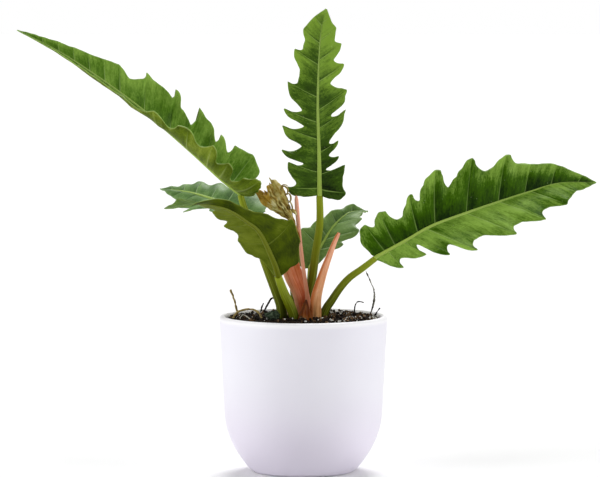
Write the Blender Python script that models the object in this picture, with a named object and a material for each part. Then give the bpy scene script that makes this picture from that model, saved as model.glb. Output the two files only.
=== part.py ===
"""A potted philodendron: a round white pot filled with potting mix, and a plant whose six
long toothed leaves stand on their own stalks around a low crown.

The origin is the middle of the pot's base, +Z is up and the pot's front faces -Y. Lengths
below are in millimetres and become metres when a mesh is made."""

import math
import random

import bmesh
import bpy
from mathutils import Vector

MM = 0.001
GAP = 0.3  # clearance between two pieces that touch
UP = Vector((0, 0, 1))

# Pot
POT_RADIUS = 70
POT_HEIGHT = 130
POT_BASE_RADIUS = 43
POT_WALL = 5.5
POT_FLOOR = 7
POT_TAPER = 0.052  # how much the wall widens for each millimetre of height
POT_ROUND_HEIGHT = 50  # height over which the rounded foot turns into the wall
POT_SIDES = 40

# Potting mix
SOIL_DROP = 3  # its edge lies this far below the rim
SOIL_MOUND = 2.5  # and its middle this much higher

# Crown: the short stem from which every stalk grows
CROWN_MIDDLE = (1, -5)
CROWN_HALF_WIDTHS = (15, 14)
CROWN_ABOVE = 5
CROWN_BELOW = 14
CROWN_ROWS = 8
CROWN_SIDES = 20
STALK_SEAT_DEPTH = 5  # how far a stalk's foot goes below the level of the mix

# The plant is drawn at DRAWN_HEIGHT, from the mix to its highest tip, and grown to PLANT_HEIGHT
PLANT_HEIGHT = 257
DRAWN_HEIGHT = 257
GROWTH = PLANT_HEIGHT / DRAWN_HEIGHT

# Leaves
BLADE_THICKNESS = 1.2
MARGIN_THICKNESS = 0.8
MIDRIB_THICKNESS = 2.8
BLADE_TO_STALK = 1.8
STALK_SIDES = 8
TIP_LENGTH = 2.5  # a blade ends in a small flat this far from the end of its midrib
CLOSEST_ROWS = 0.9
WIDEST_ROWS = 7
LOBE_SWELL = 0.7  # below 1: the margin leaves a notch fast and rounds over at the lobe's tip
NOTCH_HOLLOW = 1.6  # above 1: it drops hollow from the tip into the next notch
TIP_THINNING = 2.2  # how soon the midrib thins towards the tip
THINNEST_MIDRIB = 0.35

# Sheaths and other slim pieces
SHEATH_THICKNESS = 1.3
ROOT_SIDES = 6
ROOT_LIFT = 1  # from the mix to the middle of a root that rests on it, besides the gap
ROOTS_DRAWN_IN = 64.5  # radius inside the pot for which the loose roots' places were chosen
CURVE_STEPS = 24  # points reckoned between two given points of a smooth path

SOIL_LEVEL = POT_HEIGHT - SOIL_DROP
SOIL_ROOM = POT_RADIUS - POT_WALL


def material(name, colour, roughness):
    made = bpy.data.materials.new(name)
    made.use_nodes = True
    shader = made.node_tree.nodes["Principled BSDF"]
    shader.inputs["Base Color"].default_value = (*colour, 1)
    shader.inputs["Roughness"].default_value = roughness
    shader.inputs["Metallic"].default_value = 0
    return made


def finish(name, bm, look):
    """Turns a bmesh in millimetres into a named object in metres."""
    bmesh.ops.scale(bm, vec=(MM, MM, MM), verts=bm.verts)
    bmesh.ops.recalc_face_normals(bm, faces=bm.faces)
    mesh = bpy.data.meshes.new(name)
    bm.to_mesh(mesh)
    bm.free()
    mesh.shade_smooth()
    mesh.set_sharp_from_angle(angle=math.radians(40))
    mesh.materials.append(look)
    made = bpy.data.objects.new(name, mesh)
    bpy.context.scene.collection.objects.link(made)
    return made


def skin(name, rings, look):
    """A closed solid through rings of points, with a flat cap on the first and the last."""
    bm = bmesh.new()
    rows = [[bm.verts.new(point) for point in ring] for ring in rings]
    for row, following in zip(rows, rows[1:]):
        for i in range(len(row)):
            j = (i + 1) % len(row)
            bm.faces.new((row[i], row[j], following[j], following[i]))
    bm.faces.new(list(reversed(rows[0])))
    bm.faces.new(rows[-1])
    return finish(name, bm, look)


def turned(name, profile, look, sides=POT_SIDES):
    """A solid turned about the Z axis from (radius, height) points that start and end on it."""
    bm = bmesh.new()
    verts = [bm.verts.new((radius, 0, height)) for radius, height in profile]
    edges = [bm.edges.new(pair) for pair in zip(verts, verts[1:])]
    bmesh.ops.spin(
        bm, geom=verts + edges, cent=(0, 0, 0), axis=UP, dvec=(0, 0, 0),
        angle=math.tau, steps=sides, use_duplicate=False,
    )
    bmesh.ops.remove_doubles(bm, verts=bm.verts, dist=0.001)
    return finish(name, bm, look)


def subtract(piece, cutter, name):
    """Cuts a hidden helper out of a piece."""
    cutter.hide_render = True
    cutter.display_type = "WIRE"
    cut = piece.modifiers.new(name, "BOOLEAN")
    cut.operation = "DIFFERENCE"
    cut.solver = "EXACT"
    cut.object = cutter


def smooth_path(points, steps):
    """Evenly spaced points on a smooth curve through the given ones (Catmull-Rom)."""
    points = [Vector(point) for point in points]
    points = [2 * points[0] - points[1], *points, 2 * points[-1] - points[-2]]
    fine = []
    for a, b, c, d in zip(points, points[1:], points[2:], points[3:]):
        for step in range(CURVE_STEPS):
            t = step / CURVE_STEPS
            fine.append(
                b + (c - a) * t / 2
                + (2 * a - 5 * b + 4 * c - d) * t**2 / 2
                + (3 * b - a - 3 * c + d) * t**3 / 2
            )
    fine.append(points[-2])
    lengths = [0]
    for before, after in zip(fine, fine[1:]):
        lengths.append(lengths[-1] + (after - before).length)
    path = []
    place = 0
    for step in range(steps + 1):
        wanted = lengths[-1] * step / steps
        while place < len(fine) - 2 and lengths[place + 1] < wanted:
            place += 1
        share = (wanted - lengths[place]) / (lengths[place + 1] - lengths[place])
        path.append(fine[place].lerp(fine[place + 1], share))
    return path


def directions(path):
    ends = zip([path[0], *path], [*path[1:], path[-1]])
    return [(after - before).normalized() for before, after in ends]


def between(table, share):
    """Reads a table of (share of the length, value) by straight lines between its rows."""
    for (at, low), (following, high) in zip(table, table[1:]):
        if share <= following:
            part = (share - at) / (following - at)
            if isinstance(low, tuple):
                return Vector(low).lerp(Vector(high), part)
            return low + (high - low) * part
    return Vector(table[-1][1]) if isinstance(table[-1][1], tuple) else table[-1][1]


def on_plant(x, y, z):
    """A point of the growing plant, with z from the level of the mix."""
    return Vector((x * GROWTH, y * GROWTH, SOIL_LEVEL + z * GROWTH))


def on_soil(x, y, above):
    """A point above the surface of the mix, which is higher in the middle than at the rim."""
    mound = SOIL_MOUND * (1 - (x * x + y * y) / SOIL_ROOM**2)
    return Vector((x, y, SOIL_LEVEL + mound + above))


def tube_rings(path, radii, sides, extra=0, start=Vector((1, 0, 0))):
    """Round rings along a path, with radii as a table, each turned as little as it can be."""
    side = start
    rings = []
    for i, (point, along) in enumerate(zip(path, directions(path))):
        side = (side - along * side.dot(along)).normalized()
        other = along.cross(side)
        radius = between(radii, i / (len(path) - 1)) * GROWTH + extra
        turns = [math.tau * k / sides for k in range(sides)]
        rings.append([point + radius * (math.cos(a) * side + math.sin(a) * other) for a in turns])
    return rings


# ---------------------------------------------------------------- pot and mix


def pot_radius(z):
    """Outer radius of the pot at a height: a full round foot under a nearly straight wall."""
    bulge = POT_RADIUS - POT_BASE_RADIUS - POT_TAPER * POT_HEIGHT
    left = max(0, 1 - z / POT_ROUND_HEIGHT)
    return POT_BASE_RADIUS + POT_TAPER * z + bulge * (1 - left**2.15)


def pot_profile():
    levels = [0, 1.2, 6, 12, 19, 27, 36, 46, 60, 80, 100, POT_HEIGHT - POT_WALL / 2]
    outside = [(pot_radius(z) - (1.2 if z == 0 else 0), z) for z in levels]
    lip = []
    lip_middle = pot_radius(POT_HEIGHT) - POT_WALL / 2
    for step in range(1, 6):
        turn = math.pi * step / 6
        lip.append((
            lip_middle + POT_WALL / 2 * math.cos(turn),
            POT_HEIGHT - POT_WALL / 2 + POT_WALL / 2 * math.sin(turn),
        ))
    inside = [(pot_radius(z) - POT_WALL, z) for z in reversed(levels) if z > POT_FLOOR]
    corner = (pot_radius(POT_FLOOR) - POT_WALL, POT_FLOOR)
    return [(0, 0), *outside, *lip, *inside, corner, (0, POT_FLOOR)]


def soil_profile():
    edge = POT_WALL + GAP
    levels = [12, 19, 27, 36, 46, 60, 80, 100, SOIL_LEVEL]
    floor = POT_FLOOR + GAP
    wall = [(pot_radius(z) - edge, z) for z in levels if floor < z <= SOIL_LEVEL]
    rim = wall[-1][0]
    shares = [0.8, 0.55, 0.3]
    top = [(rim * share, SOIL_LEVEL + SOIL_MOUND * (1 - share**2)) for share in shares]
    return [
        (0, floor), (pot_radius(floor) - edge, floor), *wall, *top,
        (0, SOIL_LEVEL + SOIL_MOUND),
    ]


def crown_rings(extra):
    """An egg-shaped mound standing in the mix."""
    middle = on_plant(*CROWN_MIDDLE, 0) + UP * (CROWN_ABOVE - CROWN_BELOW) / 2
    half_width, half_depth = (half * GROWTH + extra for half in CROWN_HALF_WIDTHS)
    half_height = (CROWN_ABOVE + CROWN_BELOW) / 2 + extra
    rings = []
    for step in range(1, CROWN_ROWS):
        height = -math.cos(math.pi * step / CROWN_ROWS)
        wide = math.sqrt(1 - height**2)
        turns = [math.tau * k / CROWN_SIDES for k in range(CROWN_SIDES)]
        rings.append([
            middle + Vector((
                half_width * wide * math.cos(turn),
                half_depth * wide * math.sin(turn),
                half_height * height,
            ))
            for turn in turns
        ])
    return rings


# ---------------------------------------------------------------- leaves

# Each leaf has:
#   midrib  points along the midrib, from the stalk to the tip, with z from the mix's level
#   stalk   points along the stalk, from its foot to just under the blade
#   radii   the stalk's radius along it
#   face    the way the upper side looks
#   fold    how far each half is raised from flat, in degrees
#   lean    the angle between the side veins and the midrib, in degrees
#   left, right  the margin: where a side vein leaves the midrib, and how far out it ends
# Left and right are as seen on the upper side with the tip pointing away.
# face, fold and lean are tables over the share of the midrib's length.
LEAVES = {
    "upright_leaf": {
        "midrib": [(13.5, 4, 103), (13, 6, 140), (12, 9, 178), (13, 13, 215), (15, 17, 240),
                   (19, 20, 257)],
        "stalk": [(3, 0, 0), (5, 1, 21), (7.2, 2, 32), (10, 3, 53), (13.6, 4, 79), (13.5, 4, 103)],
        "radii": [(0, 3.3), (0.5, 3.1), (1, 2.6)],
        "face": [(0, (0, -1, 0.1)), (1, (0, -1, 0.1))],
        "fold": [(0, 14), (1, 12)],
        "lean_left": [(0, 95), (0.12, 70), (0.5, 64), (0.85, 55), (1, 40)],
        "lean_right": [(0, 110), (0.1, 70), (0.2, 58), (0.5, 56), (0.85, 50), (1, 40)],
        "left": [(0, 14), (3, 26), (6, 28), (8, 20), (18, 28), (21, 15), (26, 34), (36, 16), (45, 33),
                 (54, 13), (60, 31), (66, 16), (81, 29), (84, 21), (95, 18), (106, 25), (112, 17),
                 (120, 15), (126, 18), (140, 8)],
        "right": [(0, 5), (3, 19), (7, 21), (16, 21), (19, 5), (24, 18), (30, 9), (35, 19), (38, 10),
                  (55, 28), (58, 13), (70, 30), (86, 12), (94, 26), (103, 16), (112, 23),
                  (121, 16), (129, 16)],
    },
    "broad_right_leaf": {
        "midrib": [(60, -15, 52), (86, -9, 66), (106, -4, 77), (131, 3, 86), (162, 14, 96),
                   (189, 24, 104), (216, 34, 111), (247, 45, 111)],
        "stalk": [(14, -9, 0), (18, -9.5, 7.5), (23.7, -10, 16.6), (30.7, -11, 27), (38.3, -12, 35.5),
                  (48.5, -13.5, 43), (60, -15, 52)],
        "radii": [(0, 3.7), (0.4, 3.2), (1, 2.5)],
        "face": [(0, (-0.15, -0.86, 0.5)), (1, (-0.15, -0.86, 0.5))],
        "fold": [(0, 19), (1, 15)],
        "lean_left": [(0, 112), (0.12, 75), (0.3, 62), (0.85, 52), (1, 35)],
        "lean_right": [(0, 100), (0.12, 72), (0.3, 62), (0.85, 52), (1, 35)],
        "left": [(0, 5), (4, 22), (11, 29), (13, 23), (20, 32), (27, 18), (42, 33), (45, 23), (50, 42),
                 (56, 46), (66, 29), (73, 37), (83, 47), (92, 34), (98, 32), (105, 35), (116, 43),
                 (126, 31), (134, 30), (142, 25), (160, 23), (180, 12)],
        "right": [(0, 3), (12, 26), (14, 15), (27, 27), (30, 11), (35, 42), (43, 29), (49, 54),
                  (60, 38), (71, 34), (86, 50), (94, 38), (104, 35), (117, 45), (126, 32),
                  (136, 28), (147, 34), (160, 25), (181, 13)],
    },
    "long_left_leaf": {
        "midrib": [(-52, -12, 104), (-67, -13, 116), (-93, -15, 140), (-124, -18, 167),
                   (-160, -21, 195), (-200, -24, 222), (-234, -26, 240)],
        "stalk": [(-16.9, -14, -1), (-19.4, -14, 10.4), (-21.8, -14, 19), (-32.6, -13.5, 48.5),
                  (-40, -13, 71), (-48.7, -12, 93), (-52, -12, 104)],
        "radii": [(0, 3), (0.5, 2.7), (1, 2.5)],
        "face": [(0, (0.55, -0.28, 0.74)), (0.3, (0.55, -0.3, 0.74)), (0.47, (0.53, -0.5, 0.68)),
                 (1, (0.53, -0.5, 0.68))],
        "fold": [(0, 52), (0.3, 43), (0.45, 30), (1, 28)],
        "lean_left": [(0, 118), (0.12, 75), (0.3, 62), (0.85, 50), (1, 30)],
        "lean_right": [(0, 100), (0.12, 75), (0.3, 62), (0.85, 50), (1, 30)],
        "left": [(0, 8), (4, 30), (7, 36), (12, 24), (15, 12), (23, 29), (28, 18), (36, 35), (46, 22),
                 (57, 32), (66, 28), (74, 17), (86, 30), (96, 20), (110, 28), (124, 18), (140, 21),
                 (175, 13), (197, 9)],
        "right": [(0, 12), (5, 30), (12, 34), (16, 31), (24, 29), (27, 22), (36, 29), (38, 22),
                  (48, 34), (57, 35), (63, 19), (69, 27), (78, 36), (84, 28), (92, 33), (105, 31),
                  (120, 19), (130, 24), (141, 22), (177, 13), (198, 9)],
    },
    "drooping_leaf": {
        "midrib": [(-21, -26, 38), (-25, -32, 51), (-36, -43, 75), (-47, -50, 85), (-58, -57, 93),
                   (-69, -65, 98), (-85, -76, 101), (-111, -92, 98)],
        "stalk": [(-6.5, -20, -1), (-8.6, -21, 7), (-16, -23.5, 24), (-21, -26, 38)],
        "radii": [(0, 3.2), (1, 2.8)],
        "face": [(0, (-0.3, 0.85, 0.4)), (0.4, (-0.4, 0.75, 0.5)), (0.62, (-0.35, 0.35, 0.87)),
                 (0.8, (-0.05, -0.05, 1)), (1, (0, -0.1, 1))],
        "fold_left": [(0, 14), (0.25, 22), (0.45, 50), (0.6, 45), (0.75, 5), (1, 0)],
        "fold_right": [(0, 38), (0.5, 34), (0.75, 20), (1, 15)],
        "lean_left": [(0, 110), (0.3, 70), (0.85, 55), (1, 35)],
        "lean_right": [(0, 85), (0.3, 70), (0.85, 55), (1, 35)],
        "left": [(0, 4), (5, 12), (8, 23), (15, 26), (19, 30), (24, 31), (30, 33), (34, 26),
                 (42, 18), (54, 11), (64, 9), (74, 8), (84, 10), (96, 12), (108, 14), (122, 8)],
        "right": [(0, 3), (17, 10), (20, 16), (23, 21), (33, 24), (38, 21), (48, 20), (57, 24),
                  (61, 16), (66, 21), (72, 22), (79, 13), (86, 23), (96, 20), (104, 13), (114, 15),
                  (124, 9)],
    },
    "back_left_leaf": {
        "midrib": [(-38, 34, 83), (-54, 50, 89), (-75, 72, 94), (-97, 95, 99), (-124, 122, 101)],
        "stalk": [(-6, 5, 0), (-11, 13, 35), (-29, 29, 70), (-38, 34, 83)],
        "radii": [(0, 2.8), (1, 2.4)],
        "face": [(0, (-0.1, -0.22, 0.97)), (1, (-0.1, -0.15, 0.97))],
        "fold": [(0, 13), (1, 10)],
        "lean_left": [(0, 95), (0.2, 70), (0.5, 62), (1, 40)],
        "lean_right": [(0, 95), (0.2, 70), (0.5, 62), (1, 40)],
        "left": [(0, 8), (10, 22), (24, 28), (32, 20), (50, 33), (58, 17), (72, 22), (82, 14),
                 (94, 12)],
        "right": [(0, 8), (9, 19), (21, 26), (40, 32), (50, 25), (60, 28), (68, 20), (80, 24),
                  (90, 20), (101, 10), (110, 8)],
    },
    "back_right_leaf": {
        "midrib": [(6, 18, 41), (11, 22, 51), (17, 30, 61), (25, 42, 73), (37, 58, 83), (47, 70, 85),
                   (54, 79, 84)],
        "stalk": [(7, 8, 0), (5, 12, 20), (6, 18, 41)],
        "radii": [(0, 2.5), (1, 2.3)],
        "face": [(0, (-0.35, -0.8, 0.5)), (1, (-0.2, -0.6, 0.8))],
        "fold_left": [(0, 30), (0.4, 45), (1, 30)],
        "fold_right": [(0, 10), (1, 10)],
        "lean_left": [(0, 125), (0.2, 75), (0.5, 62), (1, 40)],
        "lean_right": [(0, 95), (0.2, 70), (0.5, 62), (1, 40)],
        "left": [(0, 6), (5, 14), (12, 22), (20, 23), (27, 17), (33, 17), (42, 12), (50, 12),
                 (63, 8), (74, 9), (84, 6)],
        "right": [(0, 4), (14, 10), (18, 23), (21, 19), (29, 32), (39, 23), (49, 24), (54, 18),
                  (62, 17), (70, 13), (80, 10)],
    },
}


def reach(keys, foot, length):
    """How far the margin is from the midrib, along the side vein that leaves it at foot.
    A lobe's back swells towards its tip, and its front drops hollow to the next notch."""
    keys = [*keys, (length, 0.5)]
    for (at, low), (following, high) in zip(keys, keys[1:]):
        if foot <= following:
            part = (foot - at) / (following - at)
            if high > low:
                return low + (high - low) * part**LOBE_SWELL
            return high + (low - high) * (1 - part)**NOTCH_HOLLOW
    return 0.5


def blade_rings(leaf):
    """Thin closed rings, each running out along two side veins, over and back under."""
    midrib = smooth_path([on_plant(*point) for point in leaf["midrib"]], 100)
    along = directions(midrib)
    length = sum((b - a).length for a, b in zip(midrib, midrib[1:])) / GROWTH
    feet = {0, length - TIP_LENGTH}
    for margin in (leaf["left"], leaf["right"]):
        feet |= {foot for foot, _ in margin}
    feet = sorted(feet)
    feet = [feet[0]] + [b for a, b in zip(feet, feet[1:]) if b - a > CLOSEST_ROWS]
    middles = [(a + b) / 2 for a, b in zip(feet, feet[1:]) if b - a > WIDEST_ROWS]
    rings = []
    for foot in sorted(feet + middles):
        share = foot / length
        place = min(int(share * 100), 99)
        spot = midrib[place].lerp(midrib[place + 1], share * 100 - place)
        ahead = along[place].lerp(along[place + 1], share * 100 - place).normalized()
        face = between(leaf["face"], share)
        face = (face - ahead * face.dot(ahead)).normalized()
        thin = max(THINNEST_MIDRIB, min(1, TIP_THINNING * (1 - share)))
        top, under = [], []
        for side, sign in (("left", -1), ("right", 1)):
            fold = math.radians(between(leaf.get("fold_" + side) or leaf["fold"], share))
            lean = math.radians(between(leaf["lean_" + side], share))
            across = sign * ahead.cross(face)
            out = math.cos(fold) * across + math.sin(fold) * face
            normal = math.cos(fold) * face - math.sin(fold) * across
            vein = math.cos(lean) * ahead + math.sin(lean) * out
            end = reach(leaf[side], foot, length) * GROWTH
            shares = ((0.5, BLADE_THICKNESS), (1, MARGIN_THICKNESS))
            for part, thickness in (reversed(shares) if sign < 0 else shares):
                middle = spot + vein * end * part
                top.append(middle + normal * thickness / 2)
                under.append(middle - normal * thickness / 2)
        top.insert(2, spot + face * BLADE_THICKNESS * thin / 2)
        under.insert(2, spot - face * (MIDRIB_THICKNESS - BLADE_THICKNESS / 2) * thin)
        rings.append(top + list(reversed(under)))
    return rings


def stalk_path(leaf):
    """From its seat in the crown to just under the blade."""
    points = [on_plant(*point) for point in leaf["stalk"]]
    points[0].z -= STALK_SEAT_DEPTH
    midrib = [on_plant(*point) for point in leaf["midrib"][:2]]
    points[-1] -= (midrib[1] - midrib[0]).normalized() * BLADE_TO_STALK
    return smooth_path(points, 10)


# ---------------------------------------------------------------- sheaths and small pieces

# Gutter-shaped pieces: points from the foot up, the way the hollow looks, the width along the
# length, and how much of a circle the cross-section takes, in degrees.
SHEATHS = {
    "left_sheath": {
        "points": [(-2.2, -6, 0), (-2.6, -6, 10), (-3.6, -6, 23), (-7.8, -4, 35), (-11.9, -2, 48),
                   (-14.5, 0, 58)],
        "hollow": (0.5, 0.6, 0.1),
        "widths": [(0, 9), (0.4, 13), (0.7, 13), (1, 5)],
        "arc": 150,
    },
    "right_sheath": {
        "points": [(10.4, -19, 0), (10.7, -18, 12), (11.1, -17.5, 24), (15, -17, 38), (18.5, -16.5, 49),
                   (24, -16, 62), (29.4, -15.5, 73)],
        "hollow": (-0.6, 0.7, 0.2),
        "widths": [(0, 6.5), (0.33, 8.5), (0.5, 7), (0.8, 4.5), (1, 2)],
        "arc": 130,
    },
    "crown_scale": {
        "points": [(1.3, -23.5, 0), (1.7, -23, 9), (2.2, -22, 18)],
        "hollow": (0, 1, 0),
        "widths": [(0, 11), (0.5, 8), (1, 1.6)],
        "arc": 90,
    },
}


def gutter_rings(sheath, extra):
    """Rings of a hollow half-round strip. The outer face bulges away from the hollow."""
    points = [on_plant(*point) for point in sheath["points"]]
    points[0].z -= STALK_SEAT_DEPTH + extra
    path = smooth_path(points, 9)
    rings = []
    for i, (point, along) in enumerate(zip(path, directions(path))):
        hollow = Vector(sheath["hollow"])
        hollow = (hollow - along * hollow.dot(along)).normalized()
        side = along.cross(hollow)
        width = between(sheath["widths"], i / (len(path) - 1)) * GROWTH
        half = math.radians(sheath["arc"] / 2)
        radius = width / 2 / math.sin(half)
        centre = point + hollow * radius * math.cos(half)
        inner = max(radius - SHEATH_THICKNESS, radius * 0.4) - extra
        outer = radius + extra
        half += extra / radius
        turns = [half * k / 3 for k in range(-3, 4)]
        bulge = [math.sin(a) * side - math.cos(a) * hollow for a in turns]
        rings.append([centre + outer * way for way in bulge]
                     + [centre + inner * way for way in reversed(bulge)])
    return rings


def crumpled_rings(path, radii, sides, roughness, seed):
    """Round rings pushed in and out at random, for a leaf that has dried and shrivelled."""
    draw = random.Random(seed)
    ridges = [1 + roughness * draw.uniform(-1, 1) for _ in range(sides)]
    rings = tube_rings(path, radii, sides, start=Vector((0, 1, 0)))
    for point, ring in zip(path, rings):
        for k, corner in enumerate(ring):
            push = ridges[k] * draw.uniform(1 - roughness / 3, 1 + roughness / 3)
            ring[k] = point + (corner - point) * push
    return rings


# Thin roots and fibres that lie loose: points with z from the surface of the mix, and the
# radius along them. An end at height 0 rests on the mix.
ROOTS = {
    "broken_twig": ([(-55, 30, 0), (-57.9, 30, 11), (-61.3, 30, 21)], [(0, 0.9), (1, 1.1)]),
    "arched_root": ([(-58.5, -13, 0), (-55, -13.5, 5), (-48, -15, 7.2), (-41, -18, 7),
                     (-36.5, -21, 4), (-34, -23, 0)], [(0, 0.9), (1, 0.8)]),
    "dark_root": ([(-33, 26, 0), (-30, 24, 8), (-26, 20, 12), (-21, 16, 12)], [(0, 0.8), (1, 0.7)]),
    "hooked_root": ([(42.5, 12, 0), (43.4, 12, 8), (46, 12.5, 11), (50.5, 14, 10.5)],
                    [(0, 0.6), (1, 0.5)]),
    "short_root": ([(-36, 31, 0), (-35, 31, 4), (-33.5, 31, 8)], [(0, 0.6), (1, 0.6)]),
    "rim_root": ([(59.5, 9, 0), (61.5, 9.5, 3.5), (64, 10, 7)], [(0, 0.6), (1, 0.5)]),
}
# An air root hangs from the broad leaf's stalk down to the mix
AIR_ROOT_TOP = (51.5, -14, 41.4)
AIR_ROOT = [(56, -8, 31), (58.7, -2, 24), (59, 4, 15), (57, 8, 6), (54.5, 10, 0)]


def loose_root_path(points):
    """Keeps the roots inside the pot when its width changes."""
    spread = SOIL_ROOM / ROOTS_DRAWN_IN
    lift = GAP + ROOT_LIFT
    return smooth_path([on_soil(x * spread, y * spread, z + lift) for x, y, z in points], 8)


def air_root_path():
    spread = SOIL_ROOM / ROOTS_DRAWN_IN
    points = [on_plant(*AIR_ROOT_TOP)]
    for step, (x, y, z) in enumerate(AIR_ROOT, start=1):
        held = 1 - step / len(AIR_ROOT)
        rests = on_soil(x * spread, y * spread, z + GAP + ROOT_LIFT)
        points.append(rests.lerp(on_plant(x, y, z), held))
    return smooth_path(points, 10)


# The tightly rolled new leaf, and the shrivelled old one that clings to it
SPIKE = [(4.6, -11.2, 0), (3.9, -10.5, 12), (2.7, -9.5, 25), (-0.7, -8.5, 47), (-3, -7.5, 66),
         (-4.9, -6.5, 87), (-6.1, -6, 103)]
SPIKE_RADII = [(0, 1.7), (1, 1.3)]
DRY_LEAF = [(-6.3, -9.3, 73), (-9.5, -9, 83), (-15.2, -8, 91), (-21.8, -7, 100), (-28, -6, 112)]
DRY_LEAF_RADII = [(0, 1.2), (0.25, 2.2), (0.5, 6), (0.75, 10), (0.9, 8), (1, 4)]
MOSS_MIDDLE = (-25.5, -27)
MOSS_HEIGHT = 6
MOSS_RADII = [(0, 4), (0.4, 5.5), (0.8, 4), (1, 2)]


# ---------------------------------------------------------------- making the plant


def build():
    for left_over in list(bpy.data.objects):
        bpy.data.objects.remove(left_over)

    white_ceramic = material("white_ceramic", (0.86, 0.85, 0.9), 0.45)
    potting_mix = material("potting_mix", (0.03, 0.02, 0.015), 0.95)
    crown_brown = material("crown_brown", (0.2, 0.14, 0.04), 0.7)
    leaf_green = material("leaf_green", (0.07, 0.2, 0.025), 0.42)
    stalk_green = material("stalk_green", (0.15, 0.27, 0.04), 0.45)
    sheath_pink = material("sheath_pink", (0.65, 0.22, 0.13), 0.5)
    dry_straw = material("dry_straw", (0.45, 0.3, 0.1), 0.8)
    root_brown = material("root_brown", (0.22, 0.15, 0.06), 0.85)
    moss_green = material("moss_green", (0.1, 0.18, 0.08), 0.9)

    turned("pot", pot_profile(), white_ceramic)
    soil = turned("soil", soil_profile(), potting_mix)

    crown = skin("crown", crown_rings(0), crown_brown)
    subtract(soil, skin("crown_seat", crown_rings(GAP), potting_mix), "crown_seat")

    for name, leaf in LEAVES.items():
        blade = skin(name + "_blade", blade_rings(leaf), leaf_green)
        path = stalk_path(leaf)
        skin(name + "_stalk", tube_rings(path, leaf["radii"], STALK_SIDES), stalk_green)
        seat = skin(name + "_seat", tube_rings(path, leaf["radii"], STALK_SIDES, GAP), crown_brown)
        subtract(blade, seat, name + "_seat")
        subtract(crown, seat, name + "_seat")
        subtract(soil, seat, name + "_seat")

    for name, sheath in SHEATHS.items():
        skin(name, gutter_rings(sheath, 0), sheath_pink)
        seat = skin(name + "_seat", gutter_rings(sheath, GAP), crown_brown)
        subtract(crown, seat, name + "_seat")
        subtract(soil, seat, name + "_seat")

    spike_path = smooth_path([on_plant(*point) for point in SPIKE], 10)
    spike_path[0].z -= STALK_SEAT_DEPTH
    skin("new_leaf_spike", tube_rings(spike_path, SPIKE_RADII, STALK_SIDES), sheath_pink)
    seat = skin("spike_seat", tube_rings(spike_path, SPIKE_RADII, STALK_SIDES, GAP), crown_brown)
    subtract(crown, seat, "spike_seat")
    subtract(soil, seat, "spike_seat")

    dry_path = smooth_path([on_plant(*point) for point in DRY_LEAF], 10)
    dry_rings = crumpled_rings(dry_path, DRY_LEAF_RADII, 10, 0.3, seed=5)
    skin("withered_leaf", dry_rings, dry_straw)

    for name, (points, radii) in ROOTS.items():
        skin(name, tube_rings(loose_root_path(points), radii, ROOT_SIDES), root_brown)
    skin("hanging_root", tube_rings(air_root_path(), [(0, 0.5), (1, 0.7)], ROOT_SIDES), root_brown)

    x, y = MOSS_MIDDLE
    lowest = on_soil(x * GROWTH, y * GROWTH, 2 * GAP)
    moss_path = [lowest + UP * MOSS_HEIGHT * k / 7 for k in range(8)]
    moss_rings = crumpled_rings(moss_path, MOSS_RADII, 10, 0.15, seed=3)
    skin("moss_clump", moss_rings, moss_green)


build()
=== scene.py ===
"""The looks of a potted philodendron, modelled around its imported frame.

Metres, +Z up. The origin is the middle of the pot's base and the pot's front faces -Y. The plant's
tables are in millimetres, with z from the level of the potting mix."""

import math
import random

import bpy
import numpy as np
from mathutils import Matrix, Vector, noise


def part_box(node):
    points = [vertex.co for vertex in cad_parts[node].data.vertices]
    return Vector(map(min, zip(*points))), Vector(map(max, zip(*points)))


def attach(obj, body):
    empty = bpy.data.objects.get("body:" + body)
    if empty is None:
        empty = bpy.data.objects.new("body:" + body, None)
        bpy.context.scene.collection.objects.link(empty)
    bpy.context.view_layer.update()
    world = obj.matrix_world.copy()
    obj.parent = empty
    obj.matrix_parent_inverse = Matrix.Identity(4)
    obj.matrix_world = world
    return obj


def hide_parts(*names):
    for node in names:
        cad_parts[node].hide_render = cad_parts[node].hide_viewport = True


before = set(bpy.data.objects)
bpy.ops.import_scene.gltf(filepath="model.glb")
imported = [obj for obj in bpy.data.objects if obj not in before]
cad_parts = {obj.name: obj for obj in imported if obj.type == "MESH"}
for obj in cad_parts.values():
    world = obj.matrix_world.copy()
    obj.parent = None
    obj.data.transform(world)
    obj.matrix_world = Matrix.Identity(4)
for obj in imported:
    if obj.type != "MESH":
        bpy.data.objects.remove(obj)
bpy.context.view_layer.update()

MM = 0.001

# Pot, as the frame has it
POT_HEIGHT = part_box("pot")[1].z / MM
POT_RADIUS = 70
POT_BASE_RADIUS = 43
POT_WALL = 5.5
POT_FLOOR = 7
POT_TAPER = 0.052
POT_ROUND_HEIGHT = 50
POT_SIDES = 128

SOIL_DROP = 3
SOIL_LEVEL = POT_HEIGHT - SOIL_DROP
SOIL_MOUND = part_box("soil")[1].z / MM - SOIL_LEVEL
SOIL_ROOM = POT_RADIUS - POT_WALL
WALL_CLEARANCE = 2.2
STALKS_MIDDLE = (1, -8)

# Leaf blades
BLADE_THICKNESS = 0.7
HALF_COLUMNS = 16
ROW_STEP = 1.5  # mm of margin between two rows of faces, both halves counted together
MARGIN_STEP = 0.25
MARGIN_ROUNDING = 1.1
LOBE_SWELL = 0.13  # how far the near edge of a lobe bows out, as a share of that edge
NOTCH_HOLLOW = 0.15  # how far its far edge is hollowed
TIP_FULLNESS = 0.02  # how far the blade's last edge, up to its tip, bows out
VEIN_STEP = 15
VEIN_GAP = 8  # two main side veins are at least this far apart

# Heights, in metres, between which the glaze turns from painted shade at the foot to white,
# and then to a painted highlight that makes the lip paler
PAINTED_FOOT_SHADE_HEIGHTS = (0.02, 0.085)
PAINTED_LIP_HIGHLIGHT_HEIGHTS = (0.124, 0.128)

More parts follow.
